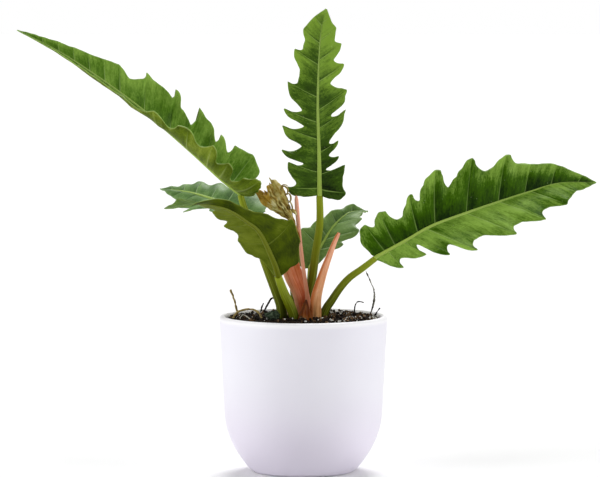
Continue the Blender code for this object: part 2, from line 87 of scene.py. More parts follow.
# Light: an even fill, and broad soft lights given as name, the way to it, its spread in degrees
# and its strength
SKY_FILL = 0.32
SOFT_LIGHTS = [
    ("left_light", (-1.0, -0.35, 0.5), 45, 1.5),
    ("right_light", (1.0, -0.25, 0.45), 45, 1.25),
    ("top_light", (0.1, 0.9, 1.0), 25, 2.25),
]

EYE = Vector((-0.0028, -2.6, 0.394))
AIM = Vector((-0.0028, 0, 0.194))
LENS = 188.3
SENSOR = 36


# ---------------------------------------------------------------- paths and tables


def unit(vectors):
    return vectors / np.linalg.norm(vectors, axis=-1, keepdims=True)


def arc_lengths(points):
    steps = np.linalg.norm(np.diff(points, axis=0), axis=1)
    return np.concatenate([[0], np.cumsum(steps)])


def between(wanted, at, values):
    """Values at the wanted places, by straight lines between the ones given."""
    if values.ndim == 1:
        return np.interp(wanted, at, values)
    return np.stack([np.interp(wanted, at, column) for column in values.T], axis=1)


def read(table, shares):
    """Reads a table of (share of the length, value) by straight lines between its rows."""
    at, values = zip(*table)
    return between(shares, at, np.array(values, float))


def smooth_path(points, steps):
    """Evenly spaced points on a smooth curve through the given ones (Catmull-Rom)."""
    points = np.array(points, float)
    points = np.vstack([2 * points[0] - points[1], points, 2 * points[-1] - points[-2]])
    share = np.linspace(0, 1, 24, endpoint=False)[:, None]
    fine = [
        b + (c - a) * share / 2
        + (2 * a - 5 * b + 4 * c - d) * share**2 / 2
        + (3 * b - a - 3 * c + d) * share**3 / 2
        for a, b, c, d in zip(points, points[1:], points[2:], points[3:])
    ]
    fine = np.vstack([*fine, points[-2]])
    lengths = arc_lengths(fine)
    return between(np.linspace(0, lengths[-1], steps + 1), lengths, fine)


def directions(path):
    return unit(np.gradient(path, axis=0))


def soften(values, steps):
    """Rounds off a row of numbers or points over that many steps, and leaves its ends in place."""
    flat = values.reshape(len(values), -1)
    reach = min(int(3 * steps), len(values) - 1)
    weights = np.exp(-0.5 * (np.arange(-reach, reach + 1) / steps) ** 2)
    weights /= weights.sum()
    padded = np.pad(flat, ((reach, reach), (0, 0)), mode="reflect", reflect_type="odd")
    soft = [np.convolve(column, weights, mode="valid") for column in padded.T]
    return np.stack(soft, axis=1).reshape(values.shape)


def on_plant(points):
    """Turns points with z from the mix's level into points of the frame, both in millimetres."""
    return np.array(points, float) + (0, 0, SOIL_LEVEL)


def mix_height(x, y):
    """Height of the mix's smooth surface, which is higher in the middle than at the rim."""
    return SOIL_LEVEL + SOIL_MOUND * (1 - (x * x + y * y) / SOIL_ROOM**2)


def on_mix(points):
    return np.array([(x, y, mix_height(x, y) + above) for x, y, above in points])


# ---------------------------------------------------------------- modelling by hand


def pick(*pieces):
    """Selects these pieces and nothing else. The first one is the active one."""
    if bpy.context.mode != "OBJECT":
        bpy.ops.object.mode_set(mode="OBJECT")
    bpy.ops.object.select_all(action="DESELECT")
    for piece in pieces:
        piece.select_set(True)
    bpy.context.view_layer.objects.active = pieces[0]


def named(name):
    piece = bpy.context.active_object
    piece.name = name
    piece.data.name = name
    return piece


def edit(piece):
    pick(piece)
    bpy.ops.object.mode_set(mode="EDIT")
    bpy.ops.mesh.select_all(action="SELECT")


def done():
    bpy.ops.object.mode_set(mode="OBJECT")


def resize(x, y, z):
    bpy.ops.transform.resize(value=(x, y, z), center_override=(0, 0, 0))


def close_up(piece):
    """Merges doubled points, fills what is open and turns every face outwards."""
    edit(piece)
    bpy.ops.mesh.remove_doubles(threshold=0.02 * MM)
    bpy.ops.mesh.fill_holes(sides=0)
    bpy.ops.mesh.normals_make_consistent(inside=False)
    done()


def modify(piece, kind, **settings):
    """Adds a modifier and applies it."""
    modifier = piece.modifiers.new(kind.title(), kind)
    for setting, value in settings.items():
        setattr(modifier, setting, value)
    pick(piece)
    bpy.ops.object.modifier_apply(modifier=modifier.name)


def smooth(piece, angle=None):
    pick(piece)
    if angle is None:
        bpy.ops.object.shade_smooth()
    else:
        bpy.ops.object.shade_smooth_by_angle(angle=math.radians(angle))


def join(name, *pieces):
    pick(*pieces)
    bpy.ops.object.join()
    return named(name)


def paint(piece, look):
    piece.data.materials.append(look)


def fit(piece, slot, *nodes):
    """Hands a finished piece to the frame: it stands for these CAD nodes."""
    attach(piece, "root")
    if nodes:
        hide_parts(*nodes)


def vertex_rows(piece, kind):
    values = np.empty(len(piece.data.vertices) * 3)
    piece.data.vertices.foreach_get(kind, values)
    return values.reshape(-1, 3)


def points_of(piece):
    return vertex_rows(piece, "co")


def move_points(piece, places):
    piece.data.vertices.foreach_set("co", np.asarray(places, float).ravel())
    piece.data.update()


def push_out(piece, push):
    """Moves each point along its normal, by its own distance in metres."""
    move_points(piece, points_of(piece) + vertex_rows(piece, "normal") * push[:, None])


def lumps(places, size, seed):
    """A soft random number from -1 to 1 for each place. size is that of a lump, in metres."""
    shift = Vector((seed * 7.3, seed * 3.1, seed * 5.7))
    return np.array([noise.noise(Vector(place) / size + shift) for place in places])


def net_lumps(net, size, seed):
    """The same for each place of a net, all in millimetres."""
    return lumps(net.reshape(-1, 3) * MM, size * MM, seed).reshape(net.shape[:2])


def roughen(piece, amount, size, seed):
    """Pushes a surface in and out by up to amount, in lumps of that size, in millimetres."""
    push_out(piece, lumps(points_of(piece), size * MM, seed) * (amount * MM))


def fill_box(piece, node):
    """Stretches a ball of radius 1 so that it fills a CAD node's box."""
    low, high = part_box(node)
    edit(piece)
    resize(*(high - low) / 2)
    bpy.ops.transform.translate(value=(low + high) / 2)
    done()
    return low, high


def turned(name, profile, sides):
    """A ring drawn up through (radius, height) rows, in millimetres, and closed at both ends."""
    radius, height = profile[0]
    bpy.ops.mesh.primitive_circle_add(vertices=sides, radius=radius * MM, location=(0, 0, 0))
    piece = named(name)
    edit(piece)
    bpy.ops.transform.translate(value=(0, 0, height * MM))
    for (old, low), (new, high) in zip(profile, profile[1:]):
        bpy.ops.mesh.extrude_region_move(TRANSFORM_OT_translate={"value": (0, 0, (high - low) * MM)})
        resize(new / old, new / old, 1)
    done()
    close_up(piece)
    return piece


def tube(name, path, radii, roundness=3, end=0.3):
    """A closed round stem along a path in millimetres, from a bevelled curve. Radii are a table
    of (share, millimetres), and each end draws in to a share of its radius."""
    bpy.ops.curve.primitive_nurbs_path_add(location=(0, 0, 0))
    curve = bpy.context.active_object
    curve.data.splines.clear()
    line = curve.data.splines.new("POLY")
    line.points.add(len(path) - 1)
    widths = read(radii, np.linspace(0, 1, len(path)))
    widths[[0, -1]] *= end
    for point, place, width in zip(line.points, path, widths):
        point.co = (*(place * MM), 1)
        point.radius = width
    curve.data.bevel_depth = MM
    curve.data.bevel_resolution = roundness
    curve.data.use_fill_caps = True
    bpy.ops.object.convert(target="MESH")
    piece = named(name)
    length = piece.data.uv_layers[0]
    length.name = "length"
    for corner in length.data:
        corner.uv = corner.uv.yx
    close_up(piece)
    smooth(piece)
    return piece


def sheet(name, places, thickness, looks, maps=()):
    """A thin closed sheet through a net of places, in millimetres. Its columns run to the right and
    its rows ahead, as seen on its upper side, which takes the first look. A map is a name and what
    it holds on the left and on the right half."""
    rows, columns = places.shape[:2]
    bpy.ops.mesh.primitive_grid_add(
        x_subdivisions=columns - 1, y_subdivisions=rows - 1, size=2, location=(0, 0, 0)
    )
    piece = named(name)
    net = points_of(piece)
    column = np.rint((net[:, 0] + 1) / 2 * (columns - 1)).astype(int)
    row = np.rint((net[:, 1] + 1) / 2 * (rows - 1)).astype(int)
    move_points(piece, places[row, column] * MM)
    piece.data.uv_layers[0].name = "length"
    corners = np.empty(len(piece.data.loops), np.int32)
    piece.data.loops.foreach_get("vertex_index", corners)
    half = np.where((column[corners].reshape(-1, 4).mean(1) < columns // 2).repeat(4), 0, 1)
    for map_name, halves in maps:
        layer = piece.data.uv_layers.new(name=map_name)
        both = np.stack(halves)[half, row[corners], column[corners]]
        layer.data.foreach_set("uv", both.astype(np.float32).ravel())
    for look in looks:
        paint(piece, look)
    modify(
        piece, "SOLIDIFY", thickness=thickness * MM, offset=0, use_rim=True,
        material_offset=len(looks) - 1, material_offset_rim=0,
    )
    smooth(piece)
    return piece


# ---------------------------------------------------------------- materials


class Amount:
    """What a node gives out. It adds, subtracts and multiplies as a number does."""

    def __init__(self, look, socket):
        self.look = look
        self.socket = socket

    def __add__(self, other):
        return self.look.math("ADD", self, other)

    def __sub__(self, other):
        return self.look.math("SUBTRACT", self, other)

    def __rsub__(self, other):
        return self.look.math("SUBTRACT", other, self)

    def __mul__(self, other):
        return self.look.math("MULTIPLY", self, other)


class Look:
    """A material, with short names for the nodes that paint it."""

    def __init__(self, name, roughness, **sockets):
        self.material = bpy.data.materials.new(name)
        self.material.use_nodes = True
        self.tree = self.material.node_tree
        self.shader = self.tree.nodes["Principled BSDF"]
        self.roughness(roughness)
        for socket, value in sockets.items():
            self.put(value, self.shader.inputs[socket.replace("_", " ")])

    def put(self, value, socket):
        if isinstance(value, Amount):
            self.tree.links.new(value.socket, socket)
        elif socket.type == "RGBA":
            socket.default_value = (*value, 1)
        else:
            socket.default_value = value

    def node(self, kind, inputs, **settings):
        made = self.tree.nodes.new("ShaderNode" + kind)
        for setting, value in settings.items():
            setattr(made, setting, value)
        for socket, value in inputs.items():
            self.put(value, made.inputs[socket])
        return made

    def amount(self, kind, inputs, output=0, **settings):
        return Amount(self, self.node(kind, inputs, **settings).outputs[output])

    def math(self, operation, *values):
        return self.amount("Math", dict(enumerate(values)), operation=operation)

    def spread(self, value, low, high, to_low=0.0, to_high=1.0):
        """Eases from to_low to to_high as value goes from low to high."""
        inputs = {0: value, 1: low, 2: high, 3: to_low, 4: to_high}
        return self.amount("MapRange", inputs, interpolation_type="SMOOTHSTEP")

    def fade(self, value, low, high):
        return self.spread(value, low, high, 1.0, 0.0)

    def mix(self, share, first, second, blend="MIX"):
        inputs = {0: share, 6: first, 7: second}
        return self.amount("Mix", inputs, 2, data_type="RGBA", blend_type=blend)

    def tint(self, colour, other):
        return self.mix(1.0, colour, other, "MULTIPLY")

    def ramp(self, value, *stops):
        made = self.node("ValToRGB", {0: value})
        elements = made.color_ramp.elements
        while len(elements) < len(stops):
            elements.new(0.5)
        for element, (position, colour) in zip(elements, stops):
            element.position = position
            element.color = (*colour, 1)
        return Amount(self, made.outputs[0])

    def split(self, vector):
        return [Amount(self, part) for part in self.node("SeparateXYZ", {0: vector}).outputs]

    def uv(self, name):
        return self.split(self.amount("UVMap", {}, uv_map=name))[:2]

    def place(self):
        return self.amount("TexCoord", {}, "Object")

    def join(self, x=0.0, y=0.0, z=0.0):
        return self.amount("CombineXYZ", {0: x, 1: y, 2: z})

    def noise(self, vector, scale, detail=3.0, roughness=0.5):
        inputs = {"Vector": vector, "Scale": scale, "Detail": detail, "Roughness": roughness}
        return self.amount("TexNoise", inputs)

    def cells(self, vector, scale, feature="F1"):
        inputs = {"Vector": vector, "Scale": scale}
        return self.amount("TexVoronoi", inputs, "Distance", feature=feature)

    def streaks(self, around, along):
        """Noise drawn out along a stem, whose map goes round in x and along in y."""
        u, v = self.uv("length")
        turn = u * math.tau
        ring = [self.math(wave, turn) * around for wave in ("COSINE", "SINE")]
        return self.noise(self.join(*ring, v * along), 1.0)

    def colour(self, value):
        self.put(value, self.shader.inputs["Base Color"])

    def roughness(self, value):
        self.put(value, self.shader.inputs["Roughness"])

    def bump(self, height, depth):
        """Raises the surface by up to depth, in millimetres."""
        relief = self.amount("Bump", {"Height": height, "Distance": depth * MM})
        self.put(relief, self.shader.inputs["Normal"])


def leaf_maps(look):
    """What a blade's maps hold: the side veins passed so far, the part of the way out to the
    margin, the veins' spacing, the distance from the midrib, the share of the length, the half."""
    return *look.uv("veins"), *look.uv("span"), *look.uv("place")


def vein_lines(look, phase, part, spacing, widths, core, blur, fading, left):
    """Lines along the side veins. From the midrib to the margin they go from one of the two
    widths to the other, and they fade from the fading part on, until that much is left."""
    off_vein = look.math("ABSOLUTE", look.math("FRACT", phase + 0.5) - 0.5) * spacing
    width = look.spread(part, 0.0, 0.95, *widths)
    line = look.fade(off_vein, width * core, width * blur)
    return line * look.spread(part, fading, 1.0, 1.0, left)


def leaf_upper(name, dark, middle, light, vein, half_shift=0.0, tip_shift=0.0, rib_shade=0.0,
               edge_shift=0.18, edge_turn=0.0):
    """The upper skin of a blade: pale side veins, painted shade just beyond each vein and painted
    light just before the next one, and streaks that run beside the veins. half_shift paints light on
    the right half, tip_shift lightens the tip, and edge_shift the lobes, from which edge_turn takes
    its share on the right half. rib_shade paints shade on the left half beside the rib."""
    look = Look(name, 0.42, Specular_IOR_Level=0.07)
    phase, part, spacing, distance, share, half = leaf_maps(look)
    veins = vein_lines(look, phase, part, spacing, (0.6, 0.15), 0.35, 1.3, 0.55, 0.15)
    beyond = look.math("FRACT", phase)
    streak = look.noise(look.join(phase * 8.0, part * 1.7, share * 4.0), 1.0, 4.0, 0.6)
    fine = look.noise(look.join(phase * 30.0, part * 9.0, half), 1.0, 2.0)
    cloud = look.noise(look.place(), 38.0, 2.0)
    grain = look.noise(look.place(), 700.0, 2.0)
    # painted shade just beyond each side vein, weaker towards the margin; the first term of tone is
    # painted light just before the next vein
    shadow = look.fade(beyond, 0.0, 0.5) * look.spread(part, 0.0, 1.0, 1.0, 0.45)
    # painted shade on the left half, darkest beside the rib
    near_rib = look.fade(part, 0.0, 0.75) * (1.0 - half)
    tone = (
        look.spread(beyond, 0.5, 1.0) * 0.1 + 0.5
        - shadow * 0.16
        - near_rib * rib_shade
        + (streak - 0.5) * 0.75
        + (cloud - 0.5) * 0.8
        + (fine - 0.5) * 0.5
        + (grain - 0.5) * 0.25
        # painted light on the right half
        + half * half_shift
        + (share - 0.4) * (half * 0.65 + 0.35) * tip_shift
        + look.spread(part, 0.4, 1.0) * (1.0 - half * edge_turn) * edge_shift
    )
    colour = look.ramp(tone, (0.05, dark), (0.5, middle), (0.95, light))
    # the veins show less on the left half, which carries the painted shade
    colour = look.mix(veins * (half * rib_shade + (0.6 - rib_shade)), colour, vein)
    colour = look.mix(look.fade((1.0 - part) * distance, 0.15, 0.9) * 0.35, colour, vein)
    speck = look.fade(look.cells(look.place(), 160.0), 0.035, 0.05)
    look.colour(look.mix(speck * 0.45, colour, (0.55, 0.6, 0.4)))
    look.roughness(cloud * 0.16 + 0.36)
    look.bump(streak * 0.55 + fine * 0.25 + grain * 0.12 - veins * 0.7, 0.45)
    return look.material


def leaf_under(name, dark, middle, light, vein, half_shift=0.0):
    """The lower skin: matt, with a fine net, and with the veins raised. half_shift paints light on the
    right half and shade on the left.
    """
    look = Look(name, 0.6, Specular_IOR_Level=0.06)
    phase, part, spacing, distance, share, half = leaf_maps(look)
    veins = vein_lines(look, phase, part, spacing, (0.8, 0.2), 0.4, 1.4, 0.6, 0.1)
    streak = look.noise(look.join(phase * 6.0, part * 1.6, share * 4.0), 1.0, 4.0, 0.6)
    cloud = look.noise(look.place(), 45.0)
    edges = look.cells(look.join(phase * 9.0, part * 12.0, half), 1.0, "DISTANCE_TO_EDGE")
    net = look.fade(edges, 0.0, 0.12)
    # half_shift: painted light on the right half and painted shade on the left
    tone = (streak - 0.5) * 0.9 + 0.5 + (cloud - 0.5) + net * 0.1 + (half - 0.5) * half_shift
    colour = look.ramp(tone, (0.1, dark), (0.5, middle), (0.9, light))
    colour = look.mix(veins * 0.28, colour, vein)
    look.colour(look.mix(look.fade((1.0 - part) * distance, 0.2, 1.2) * 0.5, colour, vein))
    look.roughness(cloud * 0.2 + 0.5)
    look.bump(streak * 0.4 + veins * 0.8 + net * 0.15, 0.45)
    return look.material


def stem_look(name, foot, middle, top, pale):
    """The skin of a stalk or rib: its colour changes from foot to top, with long streaks."""
    look = Look(name, 0.42, Specular_IOR_Level=0.1)
    streak = look.streaks(2.2, 0.9)
    thin = look.streaks(7.0, 2.0)
    grain = look.noise(look.place(), 900.0, 2.0)
    colour = look.ramp(look.uv("length")[1], (0.0, foot), (0.45, middle), (1.0, top))
    tone = (streak - 0.5) * 1.5 + (thin - 0.5) * 0.9
    lit = look.mix(look.spread(tone, 0.0, 0.6), colour, pale)
    shaded = look.tint(colour, (0.55, 0.55, 0.5))
    look.colour(look.mix(look.spread(tone, -0.6, 0.0), shaded, lit))
    look.roughness(streak * 0.14 + 0.37)
    look.bump(thin * 0.7 + grain * 0.3, 0.3)
    return look.material


def mottled(name, roughness, dark, middle, light, scale, depth, contrast=1.0):
    """An earthy or woody surface: blotches of three colours with a coarse and a fine relief."""
    look = Look(name, roughness, Specular_IOR_Level=0.12)
    blotch = look.noise(look.place(), scale, 5.0, 0.65)
    grain = look.noise(look.place(), scale * 6)
    tone = (blotch - 0.5) * (2.2 * contrast) + 0.5 + (grain - 0.5) * (0.8 * contrast)
    look.colour(look.ramp(tone, (0.1, dark), (0.5, middle), (0.9, light)))
    look.bump(blotch * 0.6 + grain * 0.4, depth)
    return look.material


def ceramic_look():
    look = Look("satin_white_ceramic", 0.45, Coat_Weight=0.08, Coat_Roughness=0.3)
    cloud = look.noise(look.place(), 14.0, 2.0)
    grain = look.noise(look.place(), 1400.0, 2.0)
    glaze = look.ramp(cloud, (0.3, (0.83, 0.815, 0.89)), (0.7, (0.86, 0.85, 0.915)))
    height = look.split(look.place())[2]
    # painted shade: the glaze is darkened at the pot's foot and fades to white by the upper height
    shaded = look.tint(glaze, (0.93, 0.89, 0.945))
    glaze = look.mix(look.fade(height, *PAINTED_FOOT_SHADE_HEIGHTS), glaze, shaded)
    # painted highlight: the lip is paler than the rest of the glaze
    look.colour(look.mix(look.spread(height, *PAINTED_LIP_HIGHLIGHT_HEIGHTS), glaze, (0.96, 0.95, 0.98)))
    look.roughness(cloud * 0.12 + 0.4)
    look.bump(cloud * 0.2 + grain * 0.8, 0.03)
    return look.material


# ---------------------------------------------------------------- pot and mix


def pot_radius(z):
    """Outer radius of the pot at a height: a full round foot under a nearly straight wall."""
    bulge = POT_RADIUS - POT_BASE_RADIUS - POT_TAPER * POT_HEIGHT
    left = max(0, 1 - z / POT_ROUND_HEIGHT)
    return POT_BASE_RADIUS + POT_TAPER * z + bulge * (1 - left**2.15)


def make_pot():
    foot = [(POT_BASE_RADIUS - 2.2, 0), (POT_BASE_RADIUS - 1, 0.25), (POT_BASE_RADIUS + 0.4, 1)]
    outside = [(pot_radius(z), z) for z in [2, 3.5, 5.5, *range(8, 50, 3), *range(50, 127, 7)]]
    half_wall = POT_WALL / 2
    lip = [
        (pot_radius(POT_HEIGHT) - half_wall + half_wall * math.cos(turn),
         POT_HEIGHT - half_wall + half_wall * math.sin(turn))
        for turn in np.linspace(0, math.pi, 13)
    ]
    inside = [(pot_radius(z) - POT_WALL, z) for z in (120, 105, 85, 65, 50, 38, 28, 20, 13, 9)]
    floor = [(pot_radius(POT_FLOOR) - POT_WALL, POT_FLOOR)]
    pot = turned("glazed_pot", foot + outside + lip + inside + floor, POT_SIDES)
    paint(pot, ceramic_look())
    smooth(pot, 40)
    fit(pot, "pot_ceramic", "pot")


def scatter(name, model, places, sizes, seed):
    """Copies of one small piece, each turned at random, joined into one."""
    draw = random.Random(seed)
    copies = []
    for place, size in zip(places, sizes):
        copy = model.copy()
        copy.data = model.data.copy()
        bpy.context.scene.collection.objects.link(copy)
        copy.location = place * MM
        copy.rotation_euler = [draw.uniform(0, math.tau) for _ in range(3)]
        flat = draw.uniform(0.7, 1.2)
        copy.scale = (size * flat, size / flat, size * draw.uniform(0.7, 1.1))
        copies.append(copy)
    pick(*copies)
    bpy.ops.object.transform_apply(location=True, rotation=True, scale=True)
    piece = join(name, *copies)
    bpy.data.objects.remove(model)
    return piece


def spots_on_mix(count, seed, lift, clear=0, right=1, left=1):
    """Random places on the mix, off the wall and clear of the stalks' feet. right and left are the
    chances that a place is kept, on the right side and elsewhere."""
    draw = random.Random(seed)
    places = []
    while len(places) < count:
        x = draw.uniform(-SOIL_ROOM, SOIL_ROOM)
        y = draw.uniform(-SOIL_ROOM, SOIL_ROOM)
        off_stalks = math.hypot(x - STALKS_MIDDLE[0], (y - STALKS_MIDDLE[1]) * 0.9)
        if math.hypot(x, y) > SOIL_ROOM - WALL_CLEARANCE or off_stalks < clear:
            continue
        if right < 1 and draw.random() > (right if x > 18 else left):
            continue
        places.append(Vector((x, y, mix_height(x, y) + lift * draw.uniform(0.4, 1.3))))
    return places


def strew(name, model, look, places, sizes, seed, angle=None):
    """Strews copies of one small piece over the mix."""
    paint(model, look)
    strewn = scatter(name, model, places, sizes, seed)
    smooth(strewn, angle)
    fit(strewn, "potting_mix")


def make_mix():
    edge = POT_WALL + 0.3
    wall = [(pot_radius(z) - edge, z) for z in (7.3, 12, 20, 30, 42, 60, 80, 100, 118, SOIL_LEVEL)]
    rim = wall[-1][0]
    shares = [1 - step / 44 for step in range(1, 44)]
    top = [(rim * share, mix_height(rim * share, 0)) for share in shares]
    soil = turned("potting_mix", wall + top, 132)
    places = points_of(soil)
    on_top = places[:, 2] / MM > SOIL_LEVEL - 0.5
    coarse = lumps(places, 7 * MM, 1) * 1.5
    fine = lumps(places, 2.6 * MM, 2) * 1.1
    rise = np.where(on_top, coarse + fine - 0.6, 0)
    move_points(soil, places + np.outer(rise * MM, (0, 0, 1)))
    mix_look = mottled("dark_potting_mix", 0.92, (0.004, 0.003, 0.002), (0.014, 0.009, 0.006),
                       (0.05, 0.033, 0.02), 420.0, 0.9)
    paint(soil, mix_look)
    smooth(soil)
    fit(soil, "potting_mix", "soil")

    draw = random.Random(21)

    def sizes(smallest, largest, places):
        return [draw.uniform(smallest, largest) for _ in places]

    bpy.ops.mesh.primitive_ico_sphere_add(subdivisions=1, radius=MM, location=(0, 0, 0))
    crumb = named("crumb")
    roughen(crumb, 0.5, 1.1, 4)
    places = spots_on_mix(620, 22, 0.7)
    strew("mix_crumbs", crumb, mix_look, places, sizes(0.5, 1.9, places), 23)

    bpy.ops.mesh.primitive_cube_add(size=2 * MM, location=(0, 0, 0))
    chip = named("chip")
    edit(chip)
    resize(2.2, 1.0, 0.42)
    bpy.ops.mesh.subdivide(number_cuts=2)
    done()
    roughen(chip, 0.9, 1.5, 6)
    modify(chip, "BEVEL", width=0.16 * MM, segments=1, limit_method="ANGLE")
    bark = mottled("bark_chip", 0.85, (0.02, 0.01, 0.004), (0.11, 0.06, 0.025), (0.36, 0.25, 0.14),
                   300.0, 0.5)
    places = spots_on_mix(105, 31, 1.0, 13, 0.95, 0.32)
    strew("bark_chips", chip, bark, places, sizes(0.4, 1.05, places), 33, 35)

    bpy.ops.mesh.primitive_ico_sphere_add(subdivisions=2, radius=MM, location=(0, 0, 0))
    grain = named("grain")
    roughen(grain, 0.7, 0.8, 8)
    perlite = mottled("perlite", 0.8, (0.42, 0.4, 0.35), (0.68, 0.66, 0.6), (0.86, 0.85, 0.82),
                      500.0, 0.2, 0.7)
    places = spots_on_mix(125, 41, 1.3, 12, 0.9, 0.3)
    strew("perlite_grains", grain, perlite, places, sizes(0.3, 0.95, places), 43)


def make_crown():
    bpy.ops.mesh.primitive_uv_sphere_add(segments=64, ring_count=36, radius=1, location=(0, 0, 0))
    crown = named("leaf_scarred_crown")
    low, high = fill_box(crown, "crown")
    middle = (low + high) / 2
    places = points_of(crown)
    height = (places[:, 2] - low.z) / (high.z - low.z)
    turn = np.arctan2(places[:, 1] - middle.y, places[:, 0] - middle.x)
    scars = np.sin(height * 55 + 2.2 * turn + 3 * lumps(places, 9 * MM, 5)) * 0.5
    ridges = np.sin(turn * 9 + 6 * height) * 0.4
    push_out(crown, (scars + ridges + lumps(places, 2 * MM, 6) * 0.7) * MM)
    smooth(crown)
    paint(crown, mottled(
        "crown_bark", 0.75, (0.05, 0.024, 0.006), (0.17, 0.1, 0.025), (0.33, 0.26, 0.08), 260.0, 0.6
    ))
    fit(crown, "crown_bark", "crown")


# ---------------------------------------------------------------- leaves

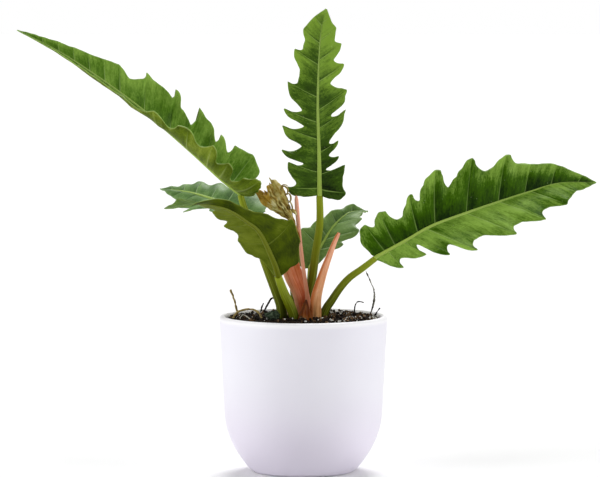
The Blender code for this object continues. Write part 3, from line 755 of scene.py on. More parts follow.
# Each leaf has:
#   midrib  points along the midrib, from the stalk to the tip
#   stalk   points along the stalk, from its foot to the blade
#   radii   the stalk's radius along it
#   face    the way the upper side looks
#   fold    how far each half is raised from flat, in degrees, or fold_left and fold_right
#   lean_left, lean_right  the angle between the side veins and the midrib, in degrees
#   left, right  the margin: where a side vein leaves the midrib, and how far out it ends
#   arch    how far each half bulges between the midrib and the margin, as a share of its width
#   quilt   how far the blade swells between two side veins, in millimetres
#   ruffle  how far the margin waves up and down, in millimetres
# and, where it differs from the others:
#   calm       the share of the length after which quilt and ruffle die away
#   rounding   how far the corners of the margin are rounded, in millimetres
#   swell      how far the near edge of a lobe bows out
#   vein_step  the distance between the side veins beyond the last lobe
#   rib_depth  how far the rib lies in front of the blade, as a share of its radius
# Left and right are as seen on the upper side with the tip pointing away.
# face, fold and lean are tables over the share of the midrib's length.
LEAVES = {
    "upright_leaf": {
        "midrib": [(13.5, 4, 103), (13, 6, 140), (12, 9, 178), (13, 13, 215), (15, 17, 240),
                   (19, 20, 257)],
        "stalk": [(3, 0, 0), (5, 1, 21), (7.2, 2, 32), (10, 3, 53), (13.6, 4, 79), (13.5, 4, 103)],
        "radii": [(0, 3.7), (0.5, 3.5), (1, 2.8)],
        "face": [(0, (0, -1, 0.1))],
        "fold": [(0, 14), (1, 12)],
        "lean_left": [(0, 95), (0.12, 70), (0.5, 64), (0.85, 55), (1, 40)],
        "lean_right": [(0, 110), (0.1, 70), (0.2, 58), (0.5, 56), (0.85, 50), (1, 40)],
        "left": [(0, 14), (3, 26), (6, 29), (7.5, 20), (16, 28), (18.5, 29), (21, 14), (26, 35),
                 (35, 15), (42, 32), (46, 34), (52, 13), (60, 32), (64, 15), (76, 28), (81, 30),
                 (83, 20), (95, 17.5), (104, 25), (108, 25), (111, 17), (120, 15), (126, 19),
                 (137, 12.5)],
        "right": [(0, 9), (2, 20), (5, 23), (8, 20), (12, 20.5), (17, 24), (18.5, 6), (24, 19), (28, 9),
                  (35, 20), (37, 10), (52, 27), (55, 29), (57.5, 13), (66, 28), (70, 31), (74, 26),
                  (86, 12), (94, 27), (103, 15), (112, 24), (119, 15.5), (129, 17), (141, 9)],
        "arch": 0.06, "quilt": 1.0, "ruffle": 1.3,
    },
    "broad_right_leaf": {
        "midrib": [(60, -15, 52), (86, -9, 66), (106, -4, 77), (131, 3, 86), (162, 14, 96),
                   (189, 24, 104), (216, 34, 111), (247, 45, 111)],
        "stalk": [(14, -9, 0), (18, -9.5, 7.5), (23.7, -10, 16.6), (30.7, -11, 27), (38.3, -12, 35.5),
                  (48.5, -13.5, 43), (60, -15, 52)],
        "radii": [(0, 3.7), (0.4, 3.2), (1, 2.5)],
        "face": [(0, (-0.15, -0.86, 0.5))],
        "fold": [(0, 19), (1, 15)],
        "lean_left": [(0, 112), (0.12, 75), (0.3, 62), (0.85, 52), (1, 35)],
        "lean_right": [(0, 100), (0.12, 72), (0.3, 62), (0.85, 52), (1, 35)],
        "left": [(0, 5), (3, 21), (7, 28), (10, 29), (13, 23), (16, 29.5), (19, 32.5), (21.5, 31),
                 (27, 20), (31, 20), (36, 27), (41, 34), (43, 33), (44, 27), (46.5, 25), (49.5, 36),
                 (53, 43.5), (57, 47.5), (60, 46), (61.5, 40), (66, 29), (72, 36), (77, 43),
                 (82, 48.5), (86, 49), (88.5, 45), (90, 40), (98, 33), (106, 35), (112, 40.5),
                 (116, 42.5), (120, 41.5), (122, 37), (126, 32.5), (134, 31), (142, 27), (160, 23),
                 (180, 12)],
        "right": [(0, 3), (12, 26), (14, 15), (27, 27), (30, 11), (35, 42), (43, 29), (49, 54),
                  (60, 38), (71, 34), (86, 50), (94, 38), (104, 35), (117, 45), (126, 32),
                  (136, 28), (147, 34), (160, 25), (181, 13)],
        "arch": 0.05, "quilt": 2.0, "ruffle": 1.4, "rounding": 1.0, "swell": 0.1,
        "vein_step": 25,
    },
    "long_left_leaf": {
        "midrib": [(-52, -12, 104), (-67, -13, 116), (-93, -15, 140), (-124, -18, 167),
                   (-160, -21, 195), (-200, -24, 222), (-234, -26, 240)],
        "stalk": [(-16.2, -14, -1), (-18.4, -14, 10.4), (-20.8, -14, 19), (-32.1, -13.5, 48.5),
                  (-40, -13, 71), (-48.7, -12, 93), (-52, -12, 104)],
        "radii": [(0, 4.2), (0.3, 3.9), (0.6, 3.1), (1, 2.6)],
        "face": [(0, (0.55, -0.28, 0.74)), (0.3, (0.55, -0.3, 0.74)), (0.47, (0.53, -0.5, 0.68)),
                 (1, (0.53, -0.5, 0.68))],
        "fold": [(0, 52), (0.3, 43), (0.45, 30), (1, 28)],
        "lean_left": [(0, 118), (0.12, 75), (0.3, 62), (0.85, 50), (1, 30)],
        "lean_right": [(0, 100), (0.12, 75), (0.3, 62), (0.85, 50), (1, 30)],
        "left": [(0, 8), (1.5, 20), (3, 27), (4.5, 32), (6, 35), (7, 36), (8.5, 33), (12, 24), (15, 12),
                 (23, 29), (28, 18), (36, 35), (46, 22), (57, 32), (66, 28), (74, 17), (86, 30),
                 (96, 20), (110, 28), (124, 18), (140, 21), (175, 13), (197, 9)],
        "right": [(0, 12), (5, 30), (12, 34), (16, 32), (24, 31), (25.5, 23), (36, 31), (37.5, 22),
                  (48, 34), (57, 38), (60, 20), (69, 28), (78, 39), (80, 29), (92, 34), (105, 35),
                  (107, 28), (120, 20), (130, 25), (141, 22), (177, 12.5), (198, 7)],
        "arch": -0.1, "quilt": 1.6, "ruffle": 1.8, "calm": 0.4, "rounding": 0.6, "swell": 0.2,
    },
    "drooping_leaf": {
        "midrib": [(-21, -26, 38), (-25, -32, 51), (-36, -43, 75), (-47, -50, 85), (-58, -57, 93),
                   (-69, -65, 98), (-85, -76, 101), (-111, -92, 98)],
        "stalk": [(-6.5, -20, -1), (-8.6, -21, 7), (-16, -23.5, 24), (-21, -26, 38)],
        "radii": [(0, 4.2), (0.5, 4.1), (1, 3.2)],
        "face": [(0, (-0.3, 0.85, 0.4)), (0.4, (-0.4, 0.75, 0.5)), (0.62, (-0.35, 0.35, 0.87)),
                 (0.8, (-0.05, -0.05, 1)), (1, (0, -0.1, 1))],
        "fold_left": [(0, 14), (0.25, 22), (0.45, 32), (0.6, 14), (0.75, 0), (1, 0)],
        "fold_right": [(0, 38), (0.5, 34), (0.75, 20), (1, 15)],
        "lean_left": [(0, 110), (0.3, 70), (0.85, 55), (1, 35)],
        "lean_right": [(0, 85), (0.3, 70), (0.85, 55), (1, 35)],
        "left": [(0, 4), (5, 12), (8, 23), (15, 26), (19, 30), (24, 31), (30, 33), (34, 26),
                 (42, 18), (54, 11), (64, 9), (74, 8), (84, 10), (96, 12), (108, 14), (122, 8)],
        "right": [(0, 3), (17, 10), (20, 16), (23, 21), (33, 24), (38, 21), (48, 20), (57, 24),
                  (61, 16), (66, 21), (72, 22), (79, 13), (86, 23), (96, 20), (104, 13), (114, 15),
                  (124, 9)],
        "arch": -0.05, "quilt": 1.0, "ruffle": 0.9, "rib_depth": 0.4,
    },
    "back_left_leaf": {
        "midrib": [(-38, 34, 83), (-54, 50, 89), (-75, 72, 94), (-97, 95, 99), (-124, 122, 101)],
        "stalk": [(-6, 5, 0), (-11, 13, 35), (-29, 29, 70), (-38, 34, 83)],
        "radii": [(0, 2.8), (1, 2.4)],
        "face": [(0, (-0.1, -0.22, 0.97)), (1, (-0.1, -0.15, 0.97))],
        "fold_left": [(0, 8), (0.35, 0), (0.5, -30), (0.75, -30), (0.88, 0), (1, 5)],
        "fold_right": [(0, 13), (1, 10)],
        "lean_left": [(0, 95), (0.2, 70), (0.5, 62), (1, 40)],
        "lean_right": [(0, 95), (0.2, 70), (0.5, 62), (1, 40)],
        "left": [(0, 8), (10, 22), (24, 28), (32, 20), (50, 33), (58, 15), (76, 24), (79, 12),
                 (94, 12)],
        "right": [(0, 8), (9, 19), (21, 26), (40, 32), (50, 25), (60, 28), (68, 20), (80, 24),
                  (90, 20), (101, 10), (110, 8)],
        "arch": 0.08, "quilt": 1.4, "ruffle": 1.2,
    },
    "back_right_leaf": {
        "midrib": [(6, 18, 41), (11, 22, 51), (17, 30, 61), (25, 42, 73), (37, 58, 83), (47, 70, 85),
                   (54, 79, 84)],
        "stalk": [(7, 8, 0), (5, 12, 20), (6, 18, 41)],
        "radii": [(0, 2.5), (1, 2.3)],
        "face": [(0, (-0.35, -0.8, 0.5)), (1, (-0.2, -0.6, 0.8))],
        "fold_left": [(0, 30), (0.4, 45), (1, 30)],
        "fold_right": [(0, 10)],
        "lean_left": [(0, 125), (0.2, 75), (0.5, 62), (1, 40)],
        "lean_right": [(0, 95), (0.2, 70), (0.5, 62), (1, 40)],
        "left": [(0, 6), (5, 14), (12, 22), (20, 23), (27, 17), (33, 17), (42, 12), (50, 12),
                 (63, 8), (74, 9), (84, 6)],
        "right": [(0, 4), (14, 10), (18, 23), (21, 19), (29, 32), (39, 23), (49, 24), (54, 18),
                  (62, 17), (70, 13), (80, 10)],
        "arch": 0.06, "quilt": 1.2, "ruffle": 1.0,
    },
}


def margin_curve(keys, lean, length, rounding, swell):
    """One half's margin laid flat, at even steps along it: the foot of the side vein that ends
    there, and its place along and out from the midrib."""
    feet, widths = np.array(keys, float).T
    angles = np.radians(read(lean, feet / length))
    corners = np.stack([feet, feet + widths * np.cos(angles), widths * np.sin(angles)], axis=1)
    edges = []
    for start, stop, grows in zip(corners, corners[1:], np.diff(widths) > 0):
        chord = stop[1:] - start[1:]
        share = np.linspace(0, 1, max(3, int(np.hypot(*chord) / 0.2)), endpoint=False)[:, None]
        edge = start + (stop - start) * share
        steep = min(1, max(0, abs(stop[2] - start[2]) / max(stop[0] - start[0], 0.1) - 0.25))
        bow = steep * (swell * (2.1 * share - 0.45) if grows else -NOTCH_HOLLOW)
        if stop[0] == length:
            bow = TIP_FULLNESS
        edge[:, 1:] += 4 * bow * share * (1 - share) * np.array([-chord[1], chord[0]])
        edges.append(edge)
    margin = np.vstack([*edges, corners[-1:]])
    arc = arc_lengths(margin[:, 1:])
    even = np.arange(0, arc[-1], MARGIN_STEP)
    margin = soften(between(even, arc, margin), rounding / MARGIN_STEP)
    uneven = lumps(np.stack([even * MM, even * 0, even * 0 + length * MM], axis=1), 5 * MM, 2)
    margin[:, 2] = np.maximum(margin[:, 2] + 0.5 * uneven, 0.3)
    margin[:, 0] = np.clip(np.maximum.accumulate(margin[:, 0]), 0, length)
    return margin


def vein_feet(keys, length, step):
    """Where the main side veins leave the midrib: one for each lobe, then at even steps."""
    widths = [0, *(width for _, width in keys), 0]
    feet = [-14.0]
    for (foot, width), before, after in zip(keys, widths, widths[2:]):
        if width >= before and width > after and foot - feet[-1] > VEIN_GAP:
            feet.append(foot)
    while feet[-1] < length:
        feet.append(feet[-1] + step)
    return feet


def blade_net(leaf):
    """The places of a blade's net, and its maps: for each, a name and what it holds on the left
    and on the right half."""
    spots = smooth_path(on_plant(leaf["midrib"]), 100)
    length = arc_lengths(spots)[-1]
    margins = {
        side: margin_curve(
            [*leaf[side], (length, 0.5)], leaf["lean_" + side], length,
            leaf.get("rounding", MARGIN_ROUNDING), leaf.get("swell", LOBE_SWELL),
        )
        for side in ("left", "right")
    }

    fine = np.linspace(0, length, 4000)
    amount = fine * 0.5
    for margin in margins.values():
        amount = amount + np.interp(fine, margin[:, 0], np.arange(len(margin)) * MARGIN_STEP)
    rows = int(amount[-1] / ROW_STEP)
    feet = np.interp(np.linspace(0, amount[-1], rows + 1), amount, fine)
    at = feet / length

    shares = np.linspace(0, 1, 101)
    ahead = directions(spots)
    face = unit(soften(read(leaf["face"], shares), 3))
    face = unit(face - ahead * (face * ahead).sum(1, keepdims=True))
    row_spots = between(at, shares, spots)
    row_ahead = unit(between(at, shares, ahead))
    row_face = unit(between(at, shares, face))

    parts = np.linspace(0, 1, HALF_COLUMNS + 1)[None, :]
    part = np.abs(np.linspace(-1, 1, 2 * HALF_COLUMNS + 1))[None, :] + 0 * feet[:, None]
    halves, veins, spans, spacings = [], [], [], []
    for side, sign in (("left", -1), ("right", 1)):
        margin = margins[side]
        along, out = between(feet, margin[:, 0], margin[:, 1:]).T
        along = along - feet
        fold = soften(read(leaf.get("fold_" + side) or leaf["fold"], shares), 4)
        fold = np.radians(np.interp(at, shares, fold))[:, None]
        across = sign * np.cross(row_ahead, row_face)
        outward = np.cos(fold) * across + np.sin(fold) * row_face
        normal = np.cos(fold) * row_face - np.sin(fold) * across

        marks = vein_feet(leaf[side], length, leaf.get("vein_step", VEIN_STEP))
        phase = np.interp(feet, marks, range(len(marks)))
        width = np.hypot(along, out)[:, None]
        swell = np.abs(np.sin(math.pi * phase))[:, None] ** 0.8
        between_veins = leaf["quilt"] * (swell - 0.35) * parts**0.6 * (1 - 0.55 * parts)
        wave = leaf["ruffle"] * np.sin(math.tau * (phase + 0.15))[:, None] * parts**2.5
        calm = leaf.get("calm", 0.8)
        taper = np.clip(width / 12, 0, 1) * np.interp(at, [calm, calm + 0.2], [1, 0.12])[:, None]
        bow = 0.12 * width * parts * (1 - parts)
        arch = leaf["arch"] * width * 4 * parts * (1 - parts)
        height = (between_veins + wave) * taper + arch
        halves.append(
            row_spots[:, None]
            + (along[:, None] * parts - bow)[..., None] * row_ahead[:, None]
            + (out[:, None] * parts)[..., None] * outward[:, None]
            + height[..., None] * normal[:, None]
        )
        veins.append(np.stack([phase[:, None] + 0 * part, part], axis=2))
        spacings.append(np.interp(feet, marks, np.gradient(marks))[:, None] + 0 * part)
        spans.append(width * parts)
    net = np.concatenate([halves[0][:, :0:-1], halves[1]], axis=1)
    wander = net_lumps(net, 16, 3) * part * 1.2
    net = net + wander[..., None] * row_face[:, None]
    span = np.concatenate([spans[0][:, :0:-1], spans[1]], axis=1)
    distances = [np.stack([spacing, span], axis=2) for spacing in spacings]
    places = [np.stack([at[:, None] + 0 * part, half + 0 * part], axis=2) for half in (0, 1)]
    return net, [("veins", veins), ("span", distances), ("place", places)]


def make_blade(name, leaf, upper, under, rib):
    """The blade of one leaf: its toothed sheet, and the rib that runs through it to the tip."""
    net, maps = blade_net(leaf)
    skin = sheet(name + "_sheet", net, BLADE_THICKNESS, [upper, under], maps)

    spots = smooth_path(on_plant(leaf["midrib"]), 90)
    shares = np.linspace(0, 1, 91)
    stem_end = leaf["radii"][-1][1]
    radii = [(0, stem_end * 0.82), (0.1, stem_end * 0.72), (0.45, 1.35), (0.8, 0.75), (1, 0.15)]
    depth = read(radii, shares)[:, None] * leaf.get("rib_depth", -0.35)
    start = spots[0] - directions(spots)[0] * 1.5
    path = np.vstack([start, (spots - unit(read(leaf["face"], shares)) * depth)[:-2]])
    middle = tube(name + "_rib", path, radii, 4, end=0.8)
    paint(middle, rib)
    blade = join(name + "_toothed_blade", skin, middle)
    fit(blade, "leaf", name + "_blade")


def make_stalk(name, leaf, look):
    points = on_plant(leaf["stalk"])
    points[0, 2] -= 6
    foot = leaf["radii"][0][1]
    radii = [(0, foot * 1.12), (0.12, foot), *leaf["radii"][1:]]
    stalk = tube(name + "_round_stalk", smooth_path(points, 60), radii, 8, end=0.9)
    paint(stalk, look)
    fit(stalk, "stalk", name + "_stalk")


# ---------------------------------------------------------------- sheaths and small pieces

# Hollow half-round scales around the stalks: points from the foot up, the way the hollow looks,
# the width along the length, and how much of a circle the cross-section takes, in degrees. A look is
# its name and the colours of the foot, the middle, the tip, the far edge and the pale streaks.
SHEATHS = {
    "left_sheath": {
        "points": [(0.4, -6, -5), (0.2, -6.5, 8), (-1.4, -6.5, 19), (-4.4, -5.5, 28), (-7.9, -4, 36),
                   (-12, -2, 48), (-15, 0, 58)],
        "hollow": (0.2, 0.95, 0.1),
        "widths": [(0, 11.5), (0.2, 12), (0.4, 13.2), (0.62, 15), (0.85, 15.5), (1, 12)],
        "arc": 95,
        "look": ("pink_sheath", (0.46, 0.07, 0.012), (0.7, 0.19, 0.075), (0.62, 0.17, 0.05),
                 (0.8, 0.36, 0.19), (0.86, 0.38, 0.25)),
    },
    "right_sheath": {
        "points": [(9.8, -18, -5), (10, -17.7, 6), (10.6, -17.5, 19.5), (14.6, -17, 34.7),
                   (18.4, -16.6, 46), (22.5, -16.2, 57), (26.1, -15.8, 66), (29.4, -15.5, 73)],
        "hollow": (-0.3, 0.95, 0.2),
        "widths": [(0, 10.4), (0.15, 10), (0.3, 9), (0.5, 7.2), (0.75, 4.9), (0.96, 3.0), (1, 1.8)],
        "arc": 115,
        "look": ("salmon_sheath", (0.55, 0.27, 0.09), (0.85, 0.4, 0.2), (0.85, 0.4, 0.25),
                 (0.55, 0.15, 0.03), (0.95, 0.6, 0.42)),
    },
    "crown_scale": {
        "points": [(1.3, -23.5, -5), (1.7, -23, 9), (2.2, -22, 18)],
        "hollow": (0, 1, 0),
        "widths": [(0, 13.5), (0.25, 12.5), (0.55, 8.5), (0.8, 4), (1, 0.8)],
        "arc": 100,
        "look": ("rust_scale", (0.32, 0.1, 0.006), (0.17, 0.035, 0.0), (0.06, 0.008, 0.0),
                 (0.12, 0.025, 0.0), (0.36, 0.13, 0.01)),
    },
}

def gutter_net(sheath, rows=70, columns=22):
    """A net over the outer face of a scale. Its columns run from one edge round to the other."""
    path = smooth_path(on_plant(sheath["points"]), rows)
    along = directions(path)
    shares = np.linspace(0, 1, rows + 1)
    hollow = np.array([sheath["hollow"]], float)
    hollow = unit(hollow - along * (along * hollow).sum(1, keepdims=True))
    side = np.cross(along, hollow)
    half = math.radians(sheath["arc"] / 2)
    radius = (read(sheath["widths"], shares) / 2 / math.sin(half))[:, None, None]
    turns = np.linspace(-half, half, columns + 1)[None, :, None]
    centre = path[:, None] + hollow[:, None] * radius * math.cos(half)
    bulge = np.sin(turns) * side[:, None] - np.cos(turns) * hollow[:, None]
    keel = 1 + 0.05 * np.cos(turns * 9) + 0.08 * np.exp(-(turns / 0.12) ** 2)
    return centre + radius * keel * bulge


def sheath_look(name, foot, middle, tip, edge, pale):
    """Pink cataphyll skin: a colour along the length, its far edge in another, long fine ribs."""
    look = Look(name, 0.42, Specular_IOR_Level=0.1)
    across, along = look.uv("length")
    ribs = look.noise(look.join(across * 26.0, along * 2.2), 1.0)
    broad = look.noise(look.join(across * 6.0, along * 3.0, 4.0), 1.0)
    cloud = look.noise(look.place(), 120.0)
    colour = look.ramp(along, (0.12, foot), (0.5, middle), (0.95, tip))
    colour = look.mix(look.spread(across + broad * 0.25, 0.75, 1.0), colour, edge)
    tone = ribs * 0.8 + broad * 0.7 + cloud * 0.5
    colour = look.mix(look.spread(tone, 0.95, 1.4, 0.0, 0.75), colour, pale)
    shaded = look.tint(colour, (0.6, 0.42, 0.36))
    colour = look.mix(look.spread(tone, 0.7, 1.05, 0.7, 0.0), colour, shaded)
    rim = look.spread(look.math("ABSOLUTE", across - 0.5), 0.455, 0.495)
    look.colour(look.mix(rim * 0.6, colour, pale))
    look.bump(ribs * 0.5 + cloud * 0.2, 0.25)
    return look.material


def make_sheaths():
    for name, sheath in SHEATHS.items():
        net = gutter_net(sheath)
        net = net + (net_lumps(net, 5, 9) * 0.3)[..., None] * np.array((0, -1, 0.2))
        piece = sheet(name + "_skin", net, 0.8, [sheath_look(*sheath["look"])])
        fit(piece, "sheath", name)


SPIKE = [(4.6, -11.2, -5), (3.9, -10.5, 12), (2.7, -9.5, 25), (-0.7, -8.5, 47), (-3, -7.5, 66),
         (-4.9, -6.5, 87), (-6.1, -6, 103)]
SPIKE_RADII = [(0, 1.8), (0.5, 1.4), (0.75, 1.5), (0.9, 1.65), (0.97, 1.5), (1, 0.8)]
ROLL_RISE = 160  # mm that the roll's edge climbs in one turn
ROLL_STEP = 0.35  # mm that the edge stands proud
ROLL_EDGE = 0.12  # the share of a turn over which it rises


def make_spike():
    """The next leaf, still rolled tight: a slim spindle with the roll's edge winding up it."""
    path = smooth_path(on_plant(SPIKE), 120)
    spike = tube("rolled_new_leaf", path, SPIKE_RADII, 6, end=0.5)
    places = points_of(spike)
    height = places[:, 2] / MM
    nearest = path[np.clip(np.searchsorted(path[:, 2], height), 0, len(path) - 1)] * MM
    turn = np.arctan2(places[:, 1] - nearest[:, 1], places[:, 0] - nearest[:, 0])
    edge = (turn / math.tau + height / ROLL_RISE) % 1
    fall = 1 - (edge - ROLL_EDGE) / (1 - ROLL_EDGE)
    push_out(spike, np.where(edge < ROLL_EDGE, edge / ROLL_EDGE, fall) * ROLL_STEP * MM)
    paint(spike, stem_look(
        "rolled_leaf_pink", (0.6, 0.22, 0.1), (0.76, 0.32, 0.19), (0.88, 0.42, 0.29), (0.96, 0.7, 0.55)
    ))
    fit(spike, "sheath", "new_leaf_spike")


def ribbon(name, points, width, start, twist, look):
    """A narrow curled strip of dried blade, turned by start and then by twist along its length."""
    path = smooth_path(on_plant(points), 30)
    along = directions(path)
    shares = np.linspace(0, 1, 31)
    side = unit(np.cross(along, np.array([0.3, -1, 0.2])))
    other = np.cross(side, along)
    turn = (start + twist * shares)[:, None]
    across = np.cos(turn) * side + np.sin(turn) * other
    half = (width / 2 * np.sin(math.pi * np.clip(shares * 0.88 + 0.1, 0, 1)) ** 0.7)[:, None]
    bowl = np.cross(across, along)
    net = np.stack([
        path + across * half * step + bowl * half * 0.5 * (1 - step * step)
        for step in np.linspace(-1, 1, 5)
    ], axis=1)
    return sheet(name, net, 0.45, [look])


DRY_AXIS = [(-6.3, -9.3, 73), (-9.5, -9, 83), (-15.2, -8, 91), (-21.5, -7, 99), (-27, -6, 107)]
DRY_RADII = [(0, 1.0), (0.25, 1.8), (0.5, 4.4), (0.8, 8.6), (1, 9)]
FUNNEL_START, FUNNEL_SWEEP = -205, 330  # how the dried blade is rolled, in degrees

# Curled strips of the withered leaf and the torn tips at its mouth: points, width, the turn they
# start with and how far they turn on, in radians
CURLS = [
    ([(-18.5, -10, 105), (-18.2, -11, 109), (-15.8, -12, 110.8), (-13.2, -12, 108.8),
      (-13.4, -11, 105.6), (-15.4, -10.5, 105)], 3.4, 1.3, 0.4),
    ([(-14.5, -10, 104), (-12, -11, 104.6), (-10.6, -11, 102), (-10.9, -10, 99), (-12.4, -9, 97.5)],
     3.2, 1.2, 0.6),
    ([(-13.5, -9, 99.5), (-11, -10, 97.5), (-9.4, -10.5, 94), (-9.6, -9, 90.5)], 3.0, 1.0, 0.8),
    ([(-11.5, -8.5, 90), (-9, -9.5, 90.8), (-7.2, -9.5, 89.5), (-5.8, -9, 87.2)], 3.6, 0.2, 0.3),
    ([(-19, -8, 101), (-21.8, -9, 108), (-25, -9.5, 113.5), (-28.3, -9, 118.3)], 3.8, 0.4, 0.9),
    ([(-26, -8, 102), (-31, -8.5, 102.5), (-36, -8.5, 104.5), (-39.5, -8, 105.8)], 5.0, 0.3, 0.7),
    ([(-24, -9, 105), (-26.4, -10, 110), (-28, -9.5, 114)], 3.0, 0.6, 0.5),
    ([(-20.5, -9, 106), (-18, -10.5, 111), (-15, -10.5, 112.2), (-12.4, -10.5, 110.8)],
     2.4, 1.3, 0.3),
    ([(-15.5, -9.5, 94), (-12.4, -11, 95.5), (-11.2, -11, 93), (-12, -9.5, 90)], 2.6, 1.2, 0.5),
]

# Its stem, and one torn rib beside it: points and radii
DRY_RIBS = [
    ([(-3.4, -8.8, 64), (-4.2, -9.4, 70), (-6.3, -9.8, 76), (-9.5, -11, 84), (-14.5, -14, 93),
      (-19, -16, 99)], [(0, 1.3), (0.4, 1.2), (1, 0.5)]),
    ([(-5.5, -9.4, 74), (-8.5, -9.8, 81), (-13, -12.5, 88), (-18, -15, 95)],
     [(0, 0.9), (0.5, 0.8), (1, 0.4)]),
]
DRY_FOOT = (SOIL_LEVEL + 66) * MM


def dry_look():
    """Straw at the mouth, ochre on the left side, and red towards the foot."""
    look = Look("dry_straw_leaf", 0.65, Specular_IOR_Level=0.12)
    across, along = look.uv("length")
    cloud = look.noise(look.place(), 170.0, 4.0, 0.6)
    veins = look.noise(look.join(across * 19.0, along * 2.2), 1.0)
    tone = (cloud - 0.5) * 1.5 + 0.36 + (veins - 0.5) * 1.5 + along * 0.22
    straw = look.ramp(
        tone, (0.08, (0.1, 0.055, 0.006)), (0.35, (0.3, 0.2, 0.035)), (0.6, (0.5, 0.42, 0.13)),
        (0.9, (0.78, 0.72, 0.4)),
    )
    ochre = look.ramp(
        tone, (0.1, (0.13, 0.05, 0.002)), (0.45, (0.36, 0.2, 0.01)), (0.85, (0.58, 0.36, 0.06))
    )
    side, _, height = look.split(look.place())
    left = look.fade(side + (cloud - 0.5) * 0.012, -0.031, -0.024)
    red = look.tint(ochre, (0.75, 0.32, 0.15))
    low = look.fade(height, DRY_FOOT, DRY_FOOT + 16 * MM)
    look.colour(look.mix(low, look.mix(left, straw, ochre), red))
    look.bump(veins * 0.7 + cloud * 0.4, 0.5)
    return look.material


def funnel_net(rows=60, columns=72):
    """A net over the dried blade, which is rolled into a creased funnel with a torn mouth."""
    path = smooth_path(on_plant(DRY_AXIS), rows)
    along = directions(path)
    side = unit(np.cross(along, np.array([0.0, 1.0, 0.0])))
    front = np.cross(side, along)
    shares = np.linspace(0, 1, rows + 1)
    radius = read(DRY_RADII, shares)
    net = np.empty((rows + 1, columns + 1, 3))
    for column in range(columns + 1):
        turn = math.radians(FUNNEL_START + FUNNEL_SWEEP * column / columns)
        crease = 0.17 * math.sin(turn * 5 + 1) + 0.13 * math.sin(turn * 11) + 0.08 * math.sin(turn * 19)
        deep = 1 + crease * np.clip(shares * 2.2, 0, 1)
        tips = 0.5 + 0.5 * math.sin(turn * 2.5 + 0.6) + 0.35 * math.sin(turn * 7)
        lift = (5.5 * tips * shares**4)[:, None]
        way = math.cos(turn) * side + math.sin(turn) * front
        net[:, column] = path + way * (radius * deep)[:, None] + along * lift
    wrinkle = np.stack([net_lumps(net, 5, seed) for seed in (11, 12, 13)], axis=2)
    return net + wrinkle * (1.5 * np.clip(shares * 2, 0.1, 1))[:, None, None]


def make_withered_leaf():
    look = dry_look()
    pieces = [sheet("dry_funnel", funnel_net(), 0.5, [look])]
    for number, curl in enumerate(CURLS):
        pieces.append(ribbon(f"dry_curl_{number}", *curl, look))
    for number, (points, radii) in enumerate(DRY_RIBS):
        rib = tube(f"dry_midrib_{number}", smooth_path(on_plant(points), 40), radii)
        roughen(rib, 0.4, 3, 3)
        paint(rib, look)
        pieces.append(rib)
    leaf = join("withered_old_leaf", *pieces)
    fit(leaf, "dry_leaf", "withered_leaf")


# Thin roots and fibres that lie loose: points with z from the surface of the mix, and radii
ROOTS = {
    "broken_twig": ([(-55, 30, 0), (-57.9, 30, 11), (-59.2, 30, 15), (-61.3, 30, 21)],
                    [(0, 1.0), (0.5, 0.8), (0.9, 1.05), (1, 0.9)], "tan"),
    "arched_root": ([(-58.5, -13, 0), (-55, -13.5, 5), (-48, -15, 7.2), (-41, -18, 7), (-36.5, -21, 4),
                     (-34, -23, 0)], [(0, 0.9), (1, 0.8)], "tan"),
    "dark_root": ([(-33, 26, 0), (-31.5, 25, 4), (-28.6, 23, 9.5), (-27.2, 22, 11.8),
                   (-25.6, 20, 12.5), (-21, 16, 12.3)], [(0, 0.8), (1, 0.7)], "dark"),
    "hooked_root": ([(42.5, 12, 0), (43.4, 12, 8), (46, 12.5, 11), (50.5, 14, 10.5)],
                    [(0, 0.6), (1, 0.4)], "dark"),
    "short_root": ([(-36, 31, 0), (-35, 31, 4), (-33.5, 31, 8)], [(0, 0.6), (1, 0.5)], "dark"),
    "rim_root": ([(59.5, 9, 0), (61.5, 9.5, 3.5), (64, 10, 7)], [(0, 0.6), (1, 0.4)], "dark"),
}
WHITE_FIBRE = [(-53, -14, 1), (-50, -16, 4), (-47, -19, 3), (-44, -22, 1)]
AIR_ROOT = [(51.5, -14, 41.4), (56, -8, 31), (58.7, -2, 24), (59, 4, 15), (57, 8, 6), (54.5, 10, 1)]
AIR_ROOT_RADII = [(0, 0.45), (0.45, 0.5), (0.7, 0.95), (0.85, 0.6), (1, 0.5)]


def fibre(name, path, radii, look, uneven, roundness=3, end=0.3):
    """A root along a path. uneven is how far its skin goes in and out, in what lumps, and a seed."""
    root = tube(name, path, radii, roundness, end)
    roughen(root, *uneven)
    paint(root, look)
    return root


def make_roots():
    looks = {
        "tan": mottled("tan_root", 0.8, (0.1, 0.07, 0.02), (0.34, 0.25, 0.09), (0.55, 0.45, 0.22),
                       500.0, 0.25),
        "dark": mottled("dark_root", 0.7, (0.004, 0.003, 0.003), (0.015, 0.012, 0.01),
                        (0.07, 0.055, 0.04), 600.0, 0.2),
    }
    grey = mottled("grey_root", 0.8, (0.02, 0.018, 0.014), (0.12, 0.11, 0.08), (0.5, 0.5, 0.42),
                   300.0, 0.25, 1.4)
    pale = mottled("white_fibre", 0.7, (0.4, 0.38, 0.3), (0.62, 0.6, 0.5), (0.8, 0.78, 0.7),
                   500.0, 0.2)
    for number, (name, (points, radii, kind)) in enumerate(ROOTS.items()):
        path = smooth_path(on_mix(points), 50) + (0, 0, 1)
        root = fibre(name + "_fibre", path, radii, looks[kind], (0.5, 2.2, number), end=0.6)
        fit(root, "root", name)
    path = smooth_path(on_mix(WHITE_FIBRE), 30)
    fit(fibre("white_fibre", path, [(0, 0.35), (1, 0.3)], pale, (0.2, 2, 9), 2), "root")
    path = smooth_path(on_plant(AIR_ROOT), 90)
    air = fibre("hanging_air_root", path, AIR_ROOT_RADII, grey, (0.45, 1.8, 12))
    fit(air, "root", "hanging_root")


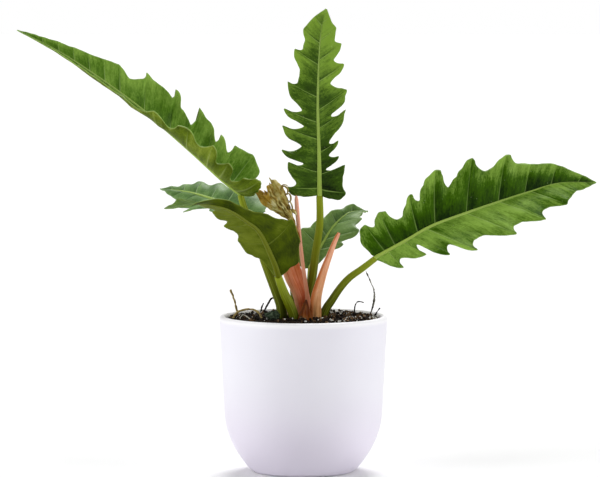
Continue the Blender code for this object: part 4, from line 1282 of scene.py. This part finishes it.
def make_moss():
    bpy.ops.mesh.primitive_ico_sphere_add(subdivisions=4, radius=1, location=(0, 0, 0))
    cushion = named("moss_cushion")
    fill_box(cushion, "moss_clump")
    roughen(cushion, 2.2, 2.6, 4)
    green = mottled("moss_green", 0.9, (0.008, 0.014, 0.006), (0.035, 0.055, 0.03), (0.13, 0.17, 0.11),
                    420.0, 0.5)
    paint(cushion, green)
    smooth(cushion)
    bpy.ops.mesh.primitive_cone_add(vertices=5, radius1=0.55 * MM, radius2=0, depth=2.6 * MM)
    leaflet = named("leaflet")
    paint(leaflet, green)
    draw = random.Random(51)
    surface = points_of(cushion)
    places = [Vector(surface[draw.randrange(len(surface))]) / MM for _ in range(170)]
    leaflets = scatter("moss_leaflets", leaflet, places, [draw.uniform(0.5, 1.2) for _ in places], 52)
    moss = join("moss_cushion", cushion, leaflets)
    fit(moss, "moss", "moss_clump")


# ---------------------------------------------------------------- making the plant

# Each upper side's dark, middle and light green, the colour of its veins, and how it is shaded,
# with half_shift as painted light on one half and rib_shade as painted shade beside the rib
GREENS = {
    "upright_leaf": (
        (0.004, 0.012, 0.0), (0.042, 0.095, 0.005), (0.2, 0.34, 0.035), (0.3, 0.46, 0.1),
        dict(tip_shift=1.0, half_shift=0.04),
    ),
    "broad_right_leaf": (
        (0.005, 0.02, 0.0), (0.04, 0.11, 0.0), (0.25, 0.42, 0.06), (0.32, 0.48, 0.12),
        dict(half_shift=0.3, rib_shade=0.3, edge_shift=0.26, edge_turn=1.6),
    ),
    "long_left_leaf": (
        (0.014, 0.045, 0.0), (0.085, 0.19, 0.01), (0.28, 0.46, 0.07), (0.34, 0.5, 0.15),
        dict(edge_shift=0.24),
    ),
    "drooping_leaf": (
        (0.03, 0.07, 0.008), (0.1, 0.19, 0.025), (0.2, 0.32, 0.06), (0.3, 0.42, 0.15), {},
    ),
    "back_left_leaf": (
        (0.02, 0.055, 0.012), (0.09, 0.18, 0.045), (0.22, 0.36, 0.12), (0.36, 0.5, 0.24), {},
    ),
    "back_right_leaf": (
        (0.03, 0.07, 0.016), (0.11, 0.2, 0.045), (0.22, 0.34, 0.1), (0.36, 0.5, 0.24), {},
    ),
}

# The same for the under side, and the rib's foot, middle, top and pale streaks. The drooping leaf,
# which is seen from below, has its own.
UNDER = ((0.035, 0.06, 0.0), (0.105, 0.16, 0.004), (0.27, 0.34, 0.04), (0.42, 0.5, 0.16))
# The drooping leaf's last number is its half_shift: painted light on the right half of its under side
# and painted shade on the left
DROOPING_UNDER = ((0.025, 0.04, 0.0), (0.072, 0.105, 0.0), (0.15, 0.19, 0.014), (0.22, 0.28, 0.04),
                  0.45)
RIB = ((0.36, 0.5, 0.08), (0.33, 0.47, 0.09), (0.26, 0.4, 0.07), (0.55, 0.7, 0.26))
DROOPING_RIB = ((0.12, 0.14, 0.0), (0.14, 0.17, 0.01), (0.17, 0.22, 0.03), (0.3, 0.34, 0.06))


def make_leaves():
    stalk_look = stem_look(
        "green_stalk", (0.035, 0.045, 0.0), (0.125, 0.15, 0.0), (0.26, 0.32, 0.014),
        (0.38, 0.46, 0.06),
    )
    for name, leaf in LEAVES.items():
        drooping = name == "drooping_leaf"
        *greens, shading = GREENS[name]
        upper = leaf_upper(name + "_upper", *greens, **shading)
        under = leaf_under(name + "_under", *(DROOPING_UNDER if drooping else UNDER))
        rib = stem_look(name + "_rib", *(DROOPING_RIB if drooping else RIB))
        make_blade(name, leaf, upper, under, rib)
        make_stalk(name, leaf, stalk_look)


def make_studio():
    bpy.ops.mesh.primitive_plane_add(size=1, location=(0, 0, 0))
    floor = named("pale_floor")
    edit(floor)
    resize(60, 60, 1)
    done()
    look = Look("pale_floor", 0.8)
    look.colour(look.ramp(look.noise(look.place(), 3.0, 2.0), (0.3, (0.86, 0.86, 0.86)),
                          (0.7, (0.88, 0.88, 0.88))))
    paint(floor, look.material)

    world = bpy.data.worlds.new("studio")
    bpy.context.scene.world = world
    world.use_nodes = True
    nodes, links = world.node_tree.nodes, world.node_tree.links
    fill = nodes["Background"]
    backdrop = nodes.new("ShaderNodeBackground")
    for light, strength in ((fill, SKY_FILL), (backdrop, 1.0)):
        light.inputs["Color"].default_value = (1, 1, 1, 1)
        light.inputs["Strength"].default_value = strength
    seen = nodes.new("ShaderNodeMixShader")
    links.new(nodes.new("ShaderNodeLightPath").outputs["Is Camera Ray"], seen.inputs[0])
    links.new(fill.outputs[0], seen.inputs[1])
    links.new(backdrop.outputs[0], seen.inputs[2])
    links.new(seen.outputs[0], nodes["World Output"].inputs["Surface"])

    for name, towards, spread, strength in SOFT_LIGHTS:
        bpy.ops.object.light_add(type="SUN", location=Vector(towards) * 2)
        light = bpy.context.active_object
        light.name = name
        light.data.angle = math.radians(spread)
        light.data.energy = strength
        light.rotation_euler = Vector(towards).to_track_quat("Z", "Y").to_euler()


def make_camera():
    bpy.ops.object.camera_add(location=EYE)
    camera = bpy.context.active_object
    camera.rotation_euler = (AIM - EYE).to_track_quat("-Z", "Y").to_euler()
    camera.data.lens = LENS
    camera.data.sensor_width = SENSOR
    bpy.context.scene.camera = camera
    bpy.context.scene.view_settings.view_transform = "Standard"


make_pot()
make_mix()
make_crown()
make_leaves()
make_sheaths()
make_spike()
make_withered_leaf()
make_roots()
make_moss()
make_studio()
make_camera()
